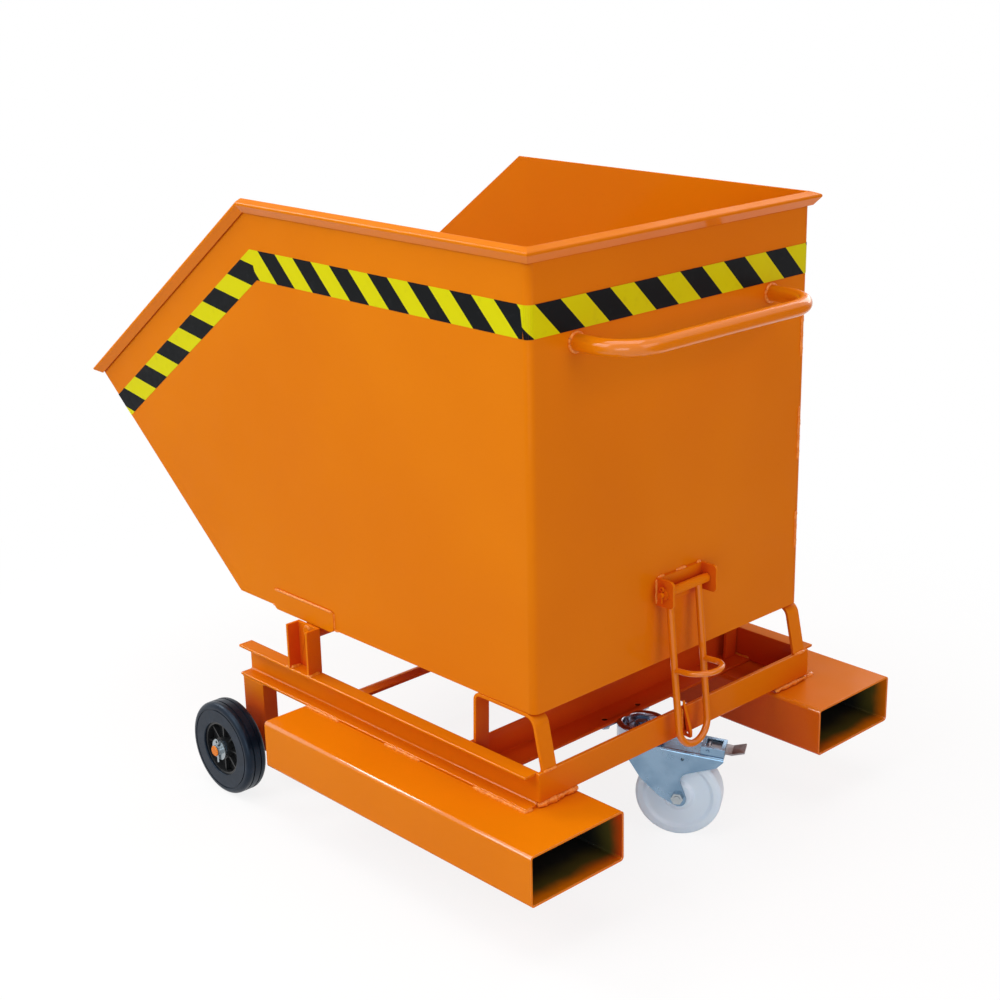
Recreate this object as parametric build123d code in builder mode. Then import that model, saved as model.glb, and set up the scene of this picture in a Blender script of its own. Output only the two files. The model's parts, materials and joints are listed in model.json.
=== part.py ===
"""Box trolley: a tipping box of folded sheet on a fork-pocket chassis with two wheels and a braked caster."""

import os
from math import asin, atan2, cos, hypot, radians, sin, tan

from build123d import *

# Lengths are in millimetres and angles in degrees. X runs forward to the tipping lip, Y to the left
# and Z up. The origin is on the floor, under the middle of the trolley's overall length.
# Names that end in _from_wall are measured forward from the outside of the box's rear wall.

# Box, outside sizes
box_width = 657
box_floor_length = 774
box_top_length = 694
box_wall_height = 732
lip_reach = 1206
lip_height = 359
lip_setback = 4
box_sheet = 3
box_corner_radius = 12
floor_bend_radius = 8
seam_inset = 13

# Folded rim along the walls' top edges
rim_depth = 27
rim_overhang = 16
rim_nose_drop = 6
rim_nose_radius = 4
rim_foot_gap = 3.2
rim_sheet = 2.5
rim_end_lead = 10.5

# Push handle on the rear wall
handle_span = 460
handle_reach = 103
handle_height = 577
handle_diameter = 27
handle_wall = 2.5
handle_bend_radius = 70

# Pivot between the box and the chassis
pivot_from_wall = 563
pivot_rise = 71.8
pivot_shaft_diameter = 16
pivot_shaft_overhang = 3
pivot_tube_diameter = 33.7
pivot_washer_diameter = 23
pivot_plate_rear = 67
pivot_plate_front = 104
pivot_plate_height = 37.5
pivot_plate_drop = 4.6
pivot_plate_sheet = 3
pivot_plate_radius = 10

# Chassis members
side_gap = 4.5
channel_height = 60
channel_flange = 30
channel_wall = 5
channel_from_wall = -12
channel_length = 756
channel_root_radius = 4
pocket_width = 204
pocket_height = 88
pocket_wall = 4
pocket_corner_radius = 7
pocket_length = 664
pocket_overhang = 116
pocket_inset = 83
rear_bar_overlap = 7
rear_bar_height = 50
rear_bar_thickness = 8
angle_from_wall = 106
angle_base = 55
angle_height = 50
angle_wall = 5
mid_bar_from_wall = 418
mid_bar_width = 20
mid_bar_thickness = 6
mid_bar_drop = 8
upright_width = 60
upright_depth = 30
upright_wall = 5
upright_cover = 12
rest_loop_width = 30
rest_loop_thickness = 6
rest_loop_overhang = 1.5
rest_loop_rear = 3
rest_loop_front_from_wall = 136
rest_loop_foot_from_wall = 141
rest_loop_rear_radius = 20
rest_loop_front_radius = 12
rest_gap = 0.3

# Front wheels on one through axle
post_from_wall = 676
post_width = 60
post_depth = 30
post_wall = 3
post_below_axle = 26
axle_diameter = 20
axle_spacer_length = 39.7
axle_spacer_wall = 4
tyre_diameter = 175
tyre_width = 42
tyre_shoulder_radius = 9
tyre_groove_width = 2.4
tyre_groove_depth = 2
tyre_groove_spacing = 14
tyre_side_groove_diameter = 150
tyre_side_groove_depth = 1.2
rim_diameter = 100
wheel_rim_width = 34
wheel_rim_wall = 4
wheel_web = 5
wheel_rib_count = 8
wheel_rib_thickness = 3
wheel_rib_setback = 5
hub_diameter = 40
hub_length = 42
bush_wall = 3
axle_washer_diameter = 40
axle_washer_thickness = 3
split_pin_diameter = 4
split_pin_tail = 14
split_pin_margin = 8

# Latch: bracket on the rear wall, swinging bail, catch on the rear cross bar
latch_pin_height = 128
latch_pin_reach = 17
latch_pin_diameter = 10
latch_pin_head_diameter = 16
latch_pin_head = 4
bracket_width = 112
bracket_offset = -8
bracket_height = 47
bracket_depth = 36
bracket_sheet = 5
bracket_corner_radius = 8
latch_washer_diameter = 20
latch_washer_thickness = 2
latch_split_pin_diameter = 3
latch_split_pin_tail = 9
latch_end_margin = 4
sleeve_diameter = 16
sleeve_end_gap = 1.5
bail_diameter = 12
bail_span = 72
pull_ring_diameter = 10
pull_ring_drop = 135
pull_ring_straight = 24
catch_thickness = 6
catch_reach = 18
catch_height = 63
catch_nose_height = 11
catch_hole_diameter = 8
catch_hole_reach = 9
catch_hole_rise = 7
hook_clearance = 2
nose_clearance = 1

# Caster
caster_heading = 212.5
caster_trail = 67
caster_wheel_diameter = 150
caster_wheel_width = 40
caster_wheel_edge_radius = 6
caster_hub_diameter = 46
caster_hub_length = 44
caster_recess_margin = 14
caster_recess_depth = 5
caster_recess_radius = 4
caster_bush_wall = 4
caster_bolt_diameter = 12
caster_bolt_head = 7
caster_bolt_flats = 19
fork_sheet = 4
fork_inside_width = 46
fork_flare = 18
fork_nose = 30
fork_tail = 78
fork_tip_radius = 16
fork_tail_drop = 13
fork_tail_depth = 12
fork_fold_radius = 5
fork_hole_diameter = 6
fork_hole_from_axle = 8
fork_hole_drop = 19
crown_gap = 14
swivel_from_angle = -32
swivel_gap = 0.3
swivel_bearing_diameter = 76
swivel_bearing_width = 8
swivel_bearing_height = 6.7
head_diameter = 86
head_height = 23
head_sheet = 4
head_rim_width = 10
head_rim_radius = 4
head_dish_depth = 9
head_dish_diameter = 58
head_tongue_width = 116
head_tongue_setback = 3
head_tongue_end = 152
head_bolt_from_angle = 16
head_bolt_spacing = 84
head_bolt_diameter = 10
head_bolt_flats = 17
head_bolt_head = 6.5
head_bolt_recess = 1.2
kingpin_diameter = 14
kingpin_head_diameter = 26
kingpin_head = 6
kingpin_nut_flats = 22
kingpin_nut_height = 11

# Caster brake
brake_housing_length = 41
brake_housing_width = 44
brake_housing_height = 14.5
brake_sheet = 2
brake_window_margin = 7
brake_pin_diameter = 5
brake_pin_setback = 12
brake_pin_rise = 7.3
brake_boss_diameter = 8.5
brake_pedal_width = 36
brake_pedal_reach = 62
brake_pedal_rise = 8
brake_pedal_thickness = 3
brake_pedal_tip = 21

# Fits
running_fit = 0.05
end_play = 0.3

# Levels: the caster's height sets the deck, which is the top of the pockets
caster_radius = caster_wheel_diameter / 2
crown_z = caster_wheel_diameter + crown_gap + fork_sheet
head_z = crown_z + swivel_bearing_height + swivel_gap
deck_z = head_z + head_height
channel_top_z = deck_z + channel_height
pivot_z = channel_top_z + pivot_rise
box_z = pivot_z + pivot_tube_diameter / 2
top_z = box_z + box_wall_height
axle_z = tyre_diameter / 2

# The box's sloped edges
run_angle = atan2(box_wall_height - lip_height, lip_reach - box_top_length)
front_angle = atan2(lip_height, lip_reach - box_floor_length)
front_length = hypot(lip_height, lip_reach - box_floor_length) - lip_setback

# Places along X
front_reach = lip_reach + rim_end_lead * cos(run_angle)
rear_reach = max(handle_reach + handle_diameter / 2, pocket_overhang)
rear_x = (rear_reach - front_reach) / 2
channel_x = rear_x + channel_from_wall
rear_bar_x = channel_x - rear_bar_thickness
angle_x = rear_x + angle_from_wall
pivot_x = rear_x + pivot_from_wall
post_x = rear_x + post_from_wall
axle_x = post_x + post_width / 2
swivel_x = angle_x + swivel_from_angle
latch_pin_x = rear_x - latch_pin_reach
lip_x = rear_x + lip_reach
lip_z = box_z + lip_height

# Places along Y, on the left side
half_width = box_width / 2
web_y = half_width + side_gap
post_face_y = web_y + post_depth
hub_face_y = post_face_y + axle_spacer_length + end_play
wheel_y = hub_face_y + hub_length / 2
axle_washer_y = hub_face_y + hub_length + end_play
split_pin_y = axle_washer_y + axle_washer_thickness + split_pin_diameter / 2 + end_play
axle_end_y = split_pin_y + split_pin_margin
ear_y = bracket_offset + bracket_width / 2
far_ear_y = bracket_offset - bracket_width / 2
latch_split_pin_y = ear_y + 2 * latch_washer_thickness + latch_split_pin_diameter / 2 + end_play

os.makedirs("parts", exist_ok=True)


def keep(piece, name):
    """Labels a finished piece and writes its file."""
    piece.part.label = name
    export_step(piece.part, f"parts/{name}.step")


def keep_pair(piece, name):
    """Writes a piece of the left side and its mirror image on the right."""
    keep(piece, f"{name}_left")
    with BuildPart() as twin:
        mirror(piece.part, about=Plane.XZ)
    keep(twin, f"{name}_right")


def cross_plane(x, y, z):
    """Plane across the trolley that faces left, with its own X axis to the rear and Y axis up."""
    return Plane(origin=(x, y, z), x_dir=(-1, 0, 0), z_dir=(0, 1, 0))


def split_pin(origin, diameter, host_diameter, tail):
    """Split pin down through a shaft at origin, with its eye on top and its legs below the shaft."""
    eye_radius = 1.5 * diameter
    eye_foot_z = origin[2] + host_diameter / 2
    end_z = origin[2] - host_diameter / 2 - tail
    with BuildPart() as pin:
        with BuildSketch(Plane(origin=(origin[0], origin[1], end_z))):
            Circle(diameter / 2)
        extrude(amount=eye_foot_z + 0.4 * diameter - end_z)
        eye_plane = Plane(origin=(origin[0], origin[1], eye_foot_z + eye_radius), z_dir=(0, 1, 0))
        with BuildSketch(eye_plane):
            Circle(eye_radius)
            Circle(0.7 * diameter, mode=Mode.SUBTRACT)
        extrude(amount=0.4 * diameter, both=True)
    return pin


# Box walls: the left wall carries the rear wall round its bend, the right wall ends in a short flange
side_outline = [
    (rear_x, box_z),
    (rear_x + box_floor_length, box_z),
    (lip_x, lip_z),
    (rear_x + box_top_length, top_z),
    (rear_x, top_z),
]


def wall_sheet(side, rear_width):
    """Side wall with its bent rear stretch; side is 1 on the left and -1 on the right."""
    outer_y = side * half_width
    inner_y = side * (half_width - box_sheet)
    end_y = side * (half_width - rear_width)
    inner_x = rear_x + box_sheet
    with BuildPart() as wall:
        with BuildSketch(Plane.XY.offset(box_z)):
            with BuildLine():
                outside = FilletPolyline(
                    (lip_x, outer_y), (rear_x, outer_y), (rear_x, end_y), radius=box_corner_radius
                )
                inside = FilletPolyline(
                    (lip_x, inner_y),
                    (inner_x, inner_y),
                    (inner_x, end_y),
                    radius=box_corner_radius - box_sheet,
                )
                Line(outside @ 0, inside @ 0)
                Line(outside @ 1, inside @ 1)
            make_face()
        extrude(amount=box_wall_height)
        with BuildSketch(Plane.XZ):
            Polygon(*side_outline, align=None)
        extrude(amount=box_width, both=True, mode=Mode.INTERSECT)
    return wall


keep(wall_sheet(1, box_width - seam_inset), "left_rear_wall")
keep(wall_sheet(-1, seam_inset), "right_wall")

# Floor and sloped front, one bent sheet between the side walls
with BuildPart() as floor_front_sheet:
    floor_start_x = rear_x + box_sheet
    bend_x = rear_x + box_floor_length
    inner_bend_x = bend_x - box_sheet * tan(front_angle / 2)
    under_lip = (bend_x + front_length * cos(front_angle), box_z + front_length * sin(front_angle))
    over_lip = (under_lip[0] - box_sheet * sin(front_angle), under_lip[1] + box_sheet * cos(front_angle))
    with BuildSketch(Plane.XZ):
        with BuildLine():
            under = FilletPolyline(
                (floor_start_x, box_z), (bend_x, box_z), under_lip, radius=floor_bend_radius + box_sheet
            )
            over = FilletPolyline(
                (floor_start_x, box_z + box_sheet),
                (inner_bend_x, box_z + box_sheet),
                over_lip,
                radius=floor_bend_radius,
            )
            Line(under @ 0, over @ 0)
            Line(under @ 1, over @ 1)
        make_face()
    extrude(amount=half_width - box_sheet, both=True)
    rear_corners = floor_front_sheet.edges().filter_by(Axis.Z).group_by(Axis.X)[0]
    fillet(rear_corners, radius=box_corner_radius - box_sheet)
keep(floor_front_sheet, "floor_front_sheet")

# Rim: a folded strip, from the wall's top edge out to a nose and back to just short of the wall
upper_leg = hypot(rim_overhang, rim_nose_drop)
lower_leg = hypot(rim_overhang, rim_depth - rim_nose_drop)
inner_nose = rim_overhang - rim_sheet * (upper_leg + lower_leg) / rim_depth
inner_top = -rim_sheet * upper_leg / rim_overhang
inner_foot = rim_sheet * lower_leg / rim_overhang - rim_depth
rim_inner_nose = (inner_nose, inner_top - rim_nose_drop * inner_nose / rim_overhang)


def rim_section(plane):
    """Rim section on a plane whose X axis points out from the wall and whose Y axis points up."""
    with BuildSketch(plane) as section:
        Polygon((0, 0), (0, -rim_depth), (rim_overhang, -rim_nose_drop), align=None)
        fillet(section.vertices().sort_by(Axis.X)[-1], radius=rim_nose_radius)
        with BuildLine():
            FilletPolyline(
                (0, inner_top), rim_inner_nose, (0, inner_foot), radius=rim_nose_radius - rim_sheet
            )
            Line((0, inner_foot), (0, inner_top))
        make_face(mode=Mode.SUBTRACT)
        with Locations((0, -rim_depth)):
            Rectangle(
                rim_foot_gap, rim_depth + inner_top, align=(Align.MIN, Align.MIN), mode=Mode.SUBTRACT
            )
    return section.sketch


left_corner = Vector(rear_x, half_width, top_z)
knee = Vector(rear_x + box_top_length, half_width, top_z)
lip_corner = Vector(lip_x, half_width, lip_z)
run = (lip_corner - knee).normalized()
rim_end = lip_corner + run * rim_end_lead
front_fold = lip_corner - Vector(cos(front_angle), 0, sin(front_angle)) * rim_depth
mitre_plane = Plane(origin=left_corner, z_dir=(1, 1, 0))

with BuildPart() as side_rim:
    with BuildLine() as edge_path:
        Polyline(left_corner - Vector(2 * rim_overhang, 0, 0), knee, lip_corner + run * rim_depth * 2)
    side_section = rim_section(Plane(origin=edge_path.line @ 0, x_dir=(0, 1, 0), z_dir=(1, 0, 0)))
    sweep(side_section, path=edge_path.line, transition=Transition.RIGHT)
    split(bisect_by=mitre_plane, keep=Keep.TOP)
    end_direction = (rim_end - front_fold).normalized()
    split(bisect_by=Plane(origin=front_fold, x_dir=(0, 1, 0), z_dir=end_direction.cross(Vector(0, 1, 0))))
keep_pair(side_rim, "rim")

with BuildPart() as rear_rim:
    right_corner = Vector(rear_x, -half_width, top_z)
    rear_start = right_corner - Vector(0, 2 * rim_overhang, 0)
    rear_section = rim_section(Plane(origin=rear_start, x_dir=(-1, 0, 0), z_dir=(0, 1, 0)))
    extrude(rear_section, amount=box_width + 4 * rim_overhang)
    split(bisect_by=mitre_plane, keep=Keep.BOTTOM)
    split(bisect_by=Plane(origin=right_corner, z_dir=(1, -1, 0)), keep=Keep.BOTTOM)
keep(rear_rim, "rim_rear")

# Push handle
with BuildPart() as push_handle:
    handle_z = box_z + handle_height
    with BuildLine() as handle_path:
        FilletPolyline(
            (rear_x, handle_span / 2, handle_z),
            (rear_x - handle_reach, handle_span / 2, handle_z),
            (rear_x - handle_reach, -handle_span / 2, handle_z),
            (rear_x, -handle_span / 2, handle_z),
            radius=handle_bend_radius,
        )
    with BuildSketch(Plane(origin=handle_path.line @ 0, z_dir=handle_path.line % 0)):
        Circle(handle_diameter / 2)
        Circle(handle_diameter / 2 - handle_wall, mode=Mode.SUBTRACT)
    sweep(path=handle_path.line)
keep(push_handle, "push_handle")

# Pivot: tube under the box's floor, doubler plates on its walls, shaft held by the uprights
with BuildPart() as pivot_tube:
    with BuildSketch(cross_plane(pivot_x, 0, pivot_z)):
        Circle(pivot_tube_diameter / 2)
        Circle(pivot_shaft_diameter / 2 + running_fit, mode=Mode.SUBTRACT)
    extrude(amount=half_width, both=True)
keep(pivot_tube, "pivot_tube")

with BuildPart() as pivot_plate:
    plate_z = box_z - pivot_plate_drop
    with BuildSketch(cross_plane(pivot_x, half_width, plate_z)):
        with BuildLine():
            FilletPolyline(
                (-pivot_plate_front, pivot_plate_height),
                (-pivot_plate_front, 0),
                (pivot_plate_rear, 0),
                (pivot_plate_rear, pivot_plate_height),
                radius=pivot_plate_radius,
            )
            Line((pivot_plate_rear, pivot_plate_height), (-pivot_plate_front, pivot_plate_height))
        make_face()
    extrude(amount=pivot_plate_sheet)
keep_pair(pivot_plate, "pivot_plate")

with BuildPart() as pivot_shaft:
    with BuildSketch(cross_plane(pivot_x, 0, pivot_z)):
        Circle(pivot_shaft_diameter / 2)
    extrude(amount=web_y + upright_wall + pivot_shaft_overhang, both=True)
    chamfer(pivot_shaft.edges().filter_by(GeomType.CIRCLE), length=pivot_shaft_diameter / 16)
keep(pivot_shaft, "pivot_shaft")

with BuildPart() as pivot_washers:
    with BuildSketch(cross_plane(pivot_x, half_width + end_play, pivot_z)):
        Circle(pivot_washer_diameter / 2)
        Circle(pivot_shaft_diameter / 2 + running_fit, mode=Mode.SUBTRACT)
    extrude(amount=side_gap - end_play)
    mirror(about=Plane.XZ)
keep(pivot_washers, "pivot_washers")

# Frame channels, open outwards, on the pockets
with BuildPart() as frame_channel:
    with BuildSketch(Plane.YZ.offset(channel_x)):
        with Locations((web_y, deck_z)):
            Rectangle(channel_flange, channel_height, align=(Align.MIN, Align.MIN))
        with Locations((web_y + channel_wall, deck_z + channel_wall)):
            Rectangle(
                channel_flange,
                channel_height - 2 * channel_wall,
                align=(Align.MIN, Align.MIN),
                mode=Mode.SUBTRACT,
            )
    extrude(amount=channel_length)
    roots = frame_channel.edges().filter_by(Axis.X).filter_by_position(
        Axis.Y, web_y + channel_wall, web_y + channel_wall
    )
    fillet(roots, radius=channel_root_radius)
keep_pair(frame_channel, "frame_channel")

with BuildPart() as fork_pocket:
    with BuildSketch(Plane.YZ.offset(rear_x - pocket_overhang)):
        with Locations((web_y - pocket_inset + pocket_width / 2, deck_z - pocket_height / 2)):
            RectangleRounded(pocket_width, pocket_height, pocket_corner_radius)
            RectangleRounded(
                pocket_width - 2 * pocket_wall,
                pocket_height - 2 * pocket_wall,
                pocket_corner_radius - pocket_wall,
                mode=Mode.SUBTRACT,
            )
    extrude(amount=pocket_length)
keep_pair(fork_pocket, "fork_pocket")

# Cross members
with BuildPart() as rear_cross_bar:
    with BuildSketch(Plane.XZ):
        with Locations((rear_bar_x, channel_top_z - rear_bar_height)):
            Rectangle(rear_bar_thickness, rear_bar_height, align=(Align.MIN, Align.MIN))
    extrude(amount=web_y + rear_bar_overlap, both=True)
keep(rear_cross_bar, "rear_cross_bar")

with BuildPart() as cross_angle:
    with BuildSketch(Plane.XZ):
        with Locations((angle_x, deck_z)):
            Rectangle(angle_base, angle_wall, align=(Align.MIN, Align.MIN))
        with Locations((angle_x + angle_base - angle_wall, deck_z)):
            Rectangle(angle_wall, angle_height, align=(Align.MIN, Align.MIN))
    extrude(amount=web_y, both=True)
    with BuildSketch(Plane.XY.offset(deck_z)):
        with Locations((angle_x + head_bolt_from_angle, 0)):
            with GridLocations(0, head_bolt_spacing, 1, 2):
                Circle(head_bolt_diameter / 2 + running_fit)
    extrude(amount=angle_wall, mode=Mode.SUBTRACT)
keep(cross_angle, "cross_angle")

with BuildPart() as mid_cross_bar:
    with BuildSketch(Plane.XZ):
        with Locations((rear_x + mid_bar_from_wall, channel_top_z - mid_bar_drop)):
            Rectangle(mid_bar_width, mid_bar_thickness, align=(Align.MIN, Align.MAX))
    extrude(amount=web_y, both=True)
keep(mid_cross_bar, "mid_cross_bar")

# Pivot uprights, short channels that stand on the frame and open outwards
with BuildPart() as pivot_upright:
    with BuildSketch(Plane.XY.offset(channel_top_z)):
        with Locations((pivot_x, web_y)):
            Rectangle(upright_width, upright_depth, align=(Align.CENTER, Align.MIN))
        with Locations((pivot_x, web_y + upright_wall)):
            Rectangle(
                upright_width - 2 * upright_wall,
                upright_depth,
                align=(Align.CENTER, Align.MIN),
                mode=Mode.SUBTRACT,
            )
    extrude(amount=pivot_rise + upright_cover)
    with BuildSketch(cross_plane(pivot_x, web_y, pivot_z)):
        Circle(pivot_shaft_diameter / 2 + running_fit)
    extrude(amount=upright_wall, mode=Mode.SUBTRACT)
keep_pair(pivot_upright, "pivot_upright")

# Rest loops: bent strips from the rear bar up under the box's floor and down to the cross angle
with BuildPart() as rest_loop:
    loop_z = box_z - rest_gap - rest_loop_thickness / 2
    rear_foot_x = rear_bar_x + rear_bar_thickness / 2
    rear_corner_x = rear_x + rest_loop_rear
    lean = (rear_corner_x - rear_foot_x) / (loop_z - channel_top_z)
    foot_depth = rest_loop_thickness / 2
    with BuildSketch(Plane.XZ.offset(-rest_loop_overhang - half_width)):
        with BuildLine():
            FilletPolyline(
                (rear_foot_x - lean * foot_depth, channel_top_z - foot_depth),
                (rear_corner_x, loop_z),
                (rear_x + rest_loop_front_from_wall, loop_z),
                (rear_x + rest_loop_foot_from_wall, deck_z + angle_wall / 2),
                radius=(rest_loop_rear_radius, rest_loop_front_radius),
            )
        trace(line_width=rest_loop_thickness)
    extrude(amount=rest_loop_width)
    add(rear_cross_bar.part, mode=Mode.SUBTRACT)
    add(cross_angle.part, mode=Mode.SUBTRACT)
keep_pair(rest_loop, "rest_loop")

# Front posts and the through axle
with BuildPart() as front_post:
    post_bottom_z = axle_z - post_below_axle
    with BuildSketch(Plane.XY.offset(post_bottom_z)):
        with Locations((axle_x, web_y + post_depth / 2)):
            Rectangle(post_width, post_depth)
            Rectangle(post_width - 2 * post_wall, post_depth - 2 * post_wall, mode=Mode.SUBTRACT)
    extrude(amount=deck_z - post_bottom_z)
    with BuildSketch(cross_plane(axle_x, web_y, axle_z)):
        Circle(axle_diameter / 2 + running_fit)
    extrude(amount=post_depth, mode=Mode.SUBTRACT)
keep_pair(front_post, "front_post")

with BuildPart() as front_axle:
    with BuildSketch(cross_plane(axle_x, 0, axle_z)):
        Circle(axle_diameter / 2)
    extrude(amount=axle_end_y, both=True)
    chamfer(front_axle.edges().filter_by(GeomType.CIRCLE), length=axle_diameter / 16)
    with BuildSketch(Plane.XY.offset(axle_z)):
        with Locations((axle_x, 0)):
            with GridLocations(0, 2 * split_pin_y, 1, 2):
                Circle(split_pin_diameter / 2 + running_fit)
    extrude(amount=axle_diameter, both=True, mode=Mode.SUBTRACT)
keep(front_axle, "front_axle")

with BuildPart() as axle_spacers:
    with BuildSketch(cross_plane(axle_x, post_face_y, axle_z)):
        Circle(axle_diameter / 2 + axle_spacer_wall)
        Circle(axle_diameter / 2 + running_fit, mode=Mode.SUBTRACT)
    extrude(amount=axle_spacer_length)
    mirror(about=Plane.XZ)
keep(axle_spacers, "axle_spacers")

with BuildPart() as axle_washers:
    with BuildSketch(cross_plane(axle_x, axle_washer_y, axle_z)):
        Circle(axle_washer_diameter / 2)
        Circle(axle_diameter / 2 + running_fit, mode=Mode.SUBTRACT)
    extrude(amount=axle_washer_thickness)
    mirror(about=Plane.XZ)
keep(axle_washers, "axle_washers")

with BuildPart() as axle_split_pins:
    add(split_pin((axle_x, split_pin_y, axle_z), split_pin_diameter, axle_diameter, split_pin_tail).part)
    mirror(about=Plane.XZ)
keep(axle_split_pins, "axle_split_pins")

# Front wheels: section sketches have the radius along X and the axle along Y
wheel_section = Plane(origin=(axle_x, wheel_y, axle_z))
wheel_axis = Axis((axle_x, wheel_y, axle_z), (0, 1, 0))
rim_radius = rim_diameter / 2
bush_radius = axle_diameter / 2 + running_fit + bush_wall

with BuildPart() as tyre:
    with BuildSketch(wheel_section) as tyre_sketch:
        with Locations((rim_radius, 0)):
            Rectangle(tyre_diameter / 2 - rim_radius, tyre_width, align=(Align.MIN, Align.CENTER))
        fillet(tyre_sketch.vertices().group_by(Axis.X)[-1], radius=tyre_shoulder_radius)
        fillet(tyre_sketch.vertices().group_by(Axis.X)[0], radius=tyre_groove_depth)
        with Locations((tyre_diameter / 2, 0)):
            with GridLocations(0, tyre_groove_spacing, 1, 2):
                Rectangle(2 * tyre_groove_depth, tyre_groove_width, mode=Mode.SUBTRACT)
        with Locations((tyre_side_groove_diameter / 2, 0)):
            with GridLocations(0, tyre_width, 1, 2):
                Rectangle(tyre_groove_width, 2 * tyre_side_groove_depth, mode=Mode.SUBTRACT)
    revolve(axis=wheel_axis)
keep_pair(tyre, "tyre")

with BuildPart() as wheel_rim:
    with BuildSketch(wheel_section):
        with Locations((rim_radius - wheel_rim_wall, 0)):
            Rectangle(wheel_rim_wall, wheel_rim_width, align=(Align.MIN, Align.CENTER))
        with Locations((bush_radius, 0)):
            Rectangle(rim_radius - wheel_rim_wall - bush_radius, wheel_web, align=(Align.MIN, Align.CENTER))
            Rectangle(
                hub_diameter / 2 - bush_radius,
                hub_length - 2 * wheel_rib_setback,
                align=(Align.MIN, Align.CENTER),
            )
    revolve(axis=wheel_axis)
    rib_inner = (hub_diameter / 2 + bush_radius) / 2
    rib_outer = rim_radius - wheel_rim_wall / 2
    with BuildSketch(cross_plane(axle_x, wheel_y, axle_z)):
        with PolarLocations((rib_inner + rib_outer) / 2, wheel_rib_count):
            Rectangle(rib_outer - rib_inner, wheel_rib_thickness)
    extrude(amount=wheel_rim_width / 2 - wheel_rib_setback, both=True)
keep_pair(wheel_rim, "wheel_rim")

with BuildPart() as wheel_bush:
    with BuildSketch(cross_plane(axle_x, hub_face_y, axle_z)):
        Circle(bush_radius)
        Circle(axle_diameter / 2 + running_fit, mode=Mode.SUBTRACT)
    extrude(amount=hub_length)
keep_pair(wheel_bush, "wheel_bush")

# Latch bracket: a strap bent to a U, with its back on the rear wall and the pin through its ears
latch_pin_z = box_z + latch_pin_height

with BuildPart() as latch_bracket:
    with BuildSketch(Plane.XY.offset(latch_pin_z - bracket_height / 2)):
        with Locations((rear_x, bracket_offset)):
            Rectangle(bracket_depth, bracket_width, align=(Align.MAX, Align.CENTER))
        with Locations((rear_x - bracket_sheet, bracket_offset)):
            Rectangle(
                bracket_depth,
                bracket_width - 2 * bracket_sheet,
                align=(Align.MAX, Align.CENTER),
                mode=Mode.SUBTRACT,
            )
    extrude(amount=bracket_height)
    ear_corners = latch_bracket.edges().filter_by(Axis.Y).group_by(Axis.X)[0]
    fillet(ear_corners, radius=bracket_corner_radius)
    with BuildSketch(cross_plane(latch_pin_x, 0, latch_pin_z)):
        Circle(latch_pin_diameter / 2 + running_fit)
    extrude(amount=bracket_width, both=True, mode=Mode.SUBTRACT)
keep(latch_bracket, "latch_bracket")

with BuildPart() as latch_pin:
    pin_end_y = latch_split_pin_y + latch_split_pin_diameter / 2 + latch_end_margin
    with BuildSketch(cross_plane(latch_pin_x, far_ear_y, latch_pin_z)):
        Circle(latch_pin_diameter / 2)
    extrude(amount=pin_end_y - far_ear_y)
    with BuildSketch(cross_plane(latch_pin_x, far_ear_y, latch_pin_z)):
        Circle(latch_pin_head_diameter / 2)
    extrude(amount=-latch_pin_head)
    with BuildSketch(Plane.XY.offset(latch_pin_z)):
        with Locations((latch_pin_x, latch_split_pin_y)):
            Circle(latch_split_pin_diameter / 2 + running_fit)
    extrude(amount=latch_pin_diameter, both=True, mode=Mode.SUBTRACT)
keep(latch_pin, "latch_pin")

with BuildPart() as latch_washers:
    for place in range(2):
        washer_y = ear_y + place * (latch_washer_thickness + end_play / 2)
        with BuildSketch(cross_plane(latch_pin_x, washer_y, latch_pin_z)):
            Circle(latch_washer_diameter / 2)
            Circle(latch_pin_diameter / 2 + running_fit, mode=Mode.SUBTRACT)
        extrude(amount=latch_washer_thickness)
keep(latch_washers, "latch_washers")

latch_split_pin = split_pin(
    (latch_pin_x, latch_split_pin_y, latch_pin_z),
    latch_split_pin_diameter,
    latch_pin_diameter,
    latch_split_pin_tail,
)
keep(latch_split_pin, "latch_split_pin")

# Catch plate on the rear bar, and the bail swung just clear of its nose
bar_bottom_z = channel_top_z - rear_bar_height
bail_radius = bail_diameter / 2
bail_bottom_z = bar_bottom_z - hook_clearance - bail_radius
bail_length = latch_pin_z - bail_bottom_z
nose_x = rear_bar_x - catch_reach
bail_swing = asin((latch_pin_x - nose_x + nose_clearance + bail_radius) / bail_length)
bail_up = Vector(sin(bail_swing), 0, cos(bail_swing))
bail_forward = Vector(cos(bail_swing), 0, -sin(bail_swing))
latch_pin_middle = Vector(latch_pin_x, 0, latch_pin_z)
bail_plane = Plane(origin=latch_pin_middle, x_dir=(0, 1, 0), z_dir=bail_forward)

with BuildPart() as latch_catch:
    with BuildSketch(Plane.XZ):
        Polygon(
            (rear_bar_x, bar_bottom_z),
            (rear_bar_x, bar_bottom_z + catch_height),
            (nose_x, bar_bottom_z + catch_nose_height),
            (nose_x, bar_bottom_z),
            align=None,
        )
        with Locations((rear_bar_x - catch_hole_reach, bar_bottom_z + catch_hole_rise)):
            Circle(catch_hole_diameter / 2, mode=Mode.SUBTRACT)
    extrude(amount=catch_thickness / 2, both=True)
keep(latch_catch, "latch_catch")

with BuildPart() as latch_sleeve:
    with BuildSketch(cross_plane(latch_pin_x, bracket_offset, latch_pin_z)):
        Circle(sleeve_diameter / 2)
        Circle(latch_pin_diameter / 2 + running_fit, mode=Mode.SUBTRACT)
    extrude(amount=bracket_width / 2 - bracket_sheet - sleeve_end_gap, both=True)
keep(latch_sleeve, "latch_sleeve")

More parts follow.
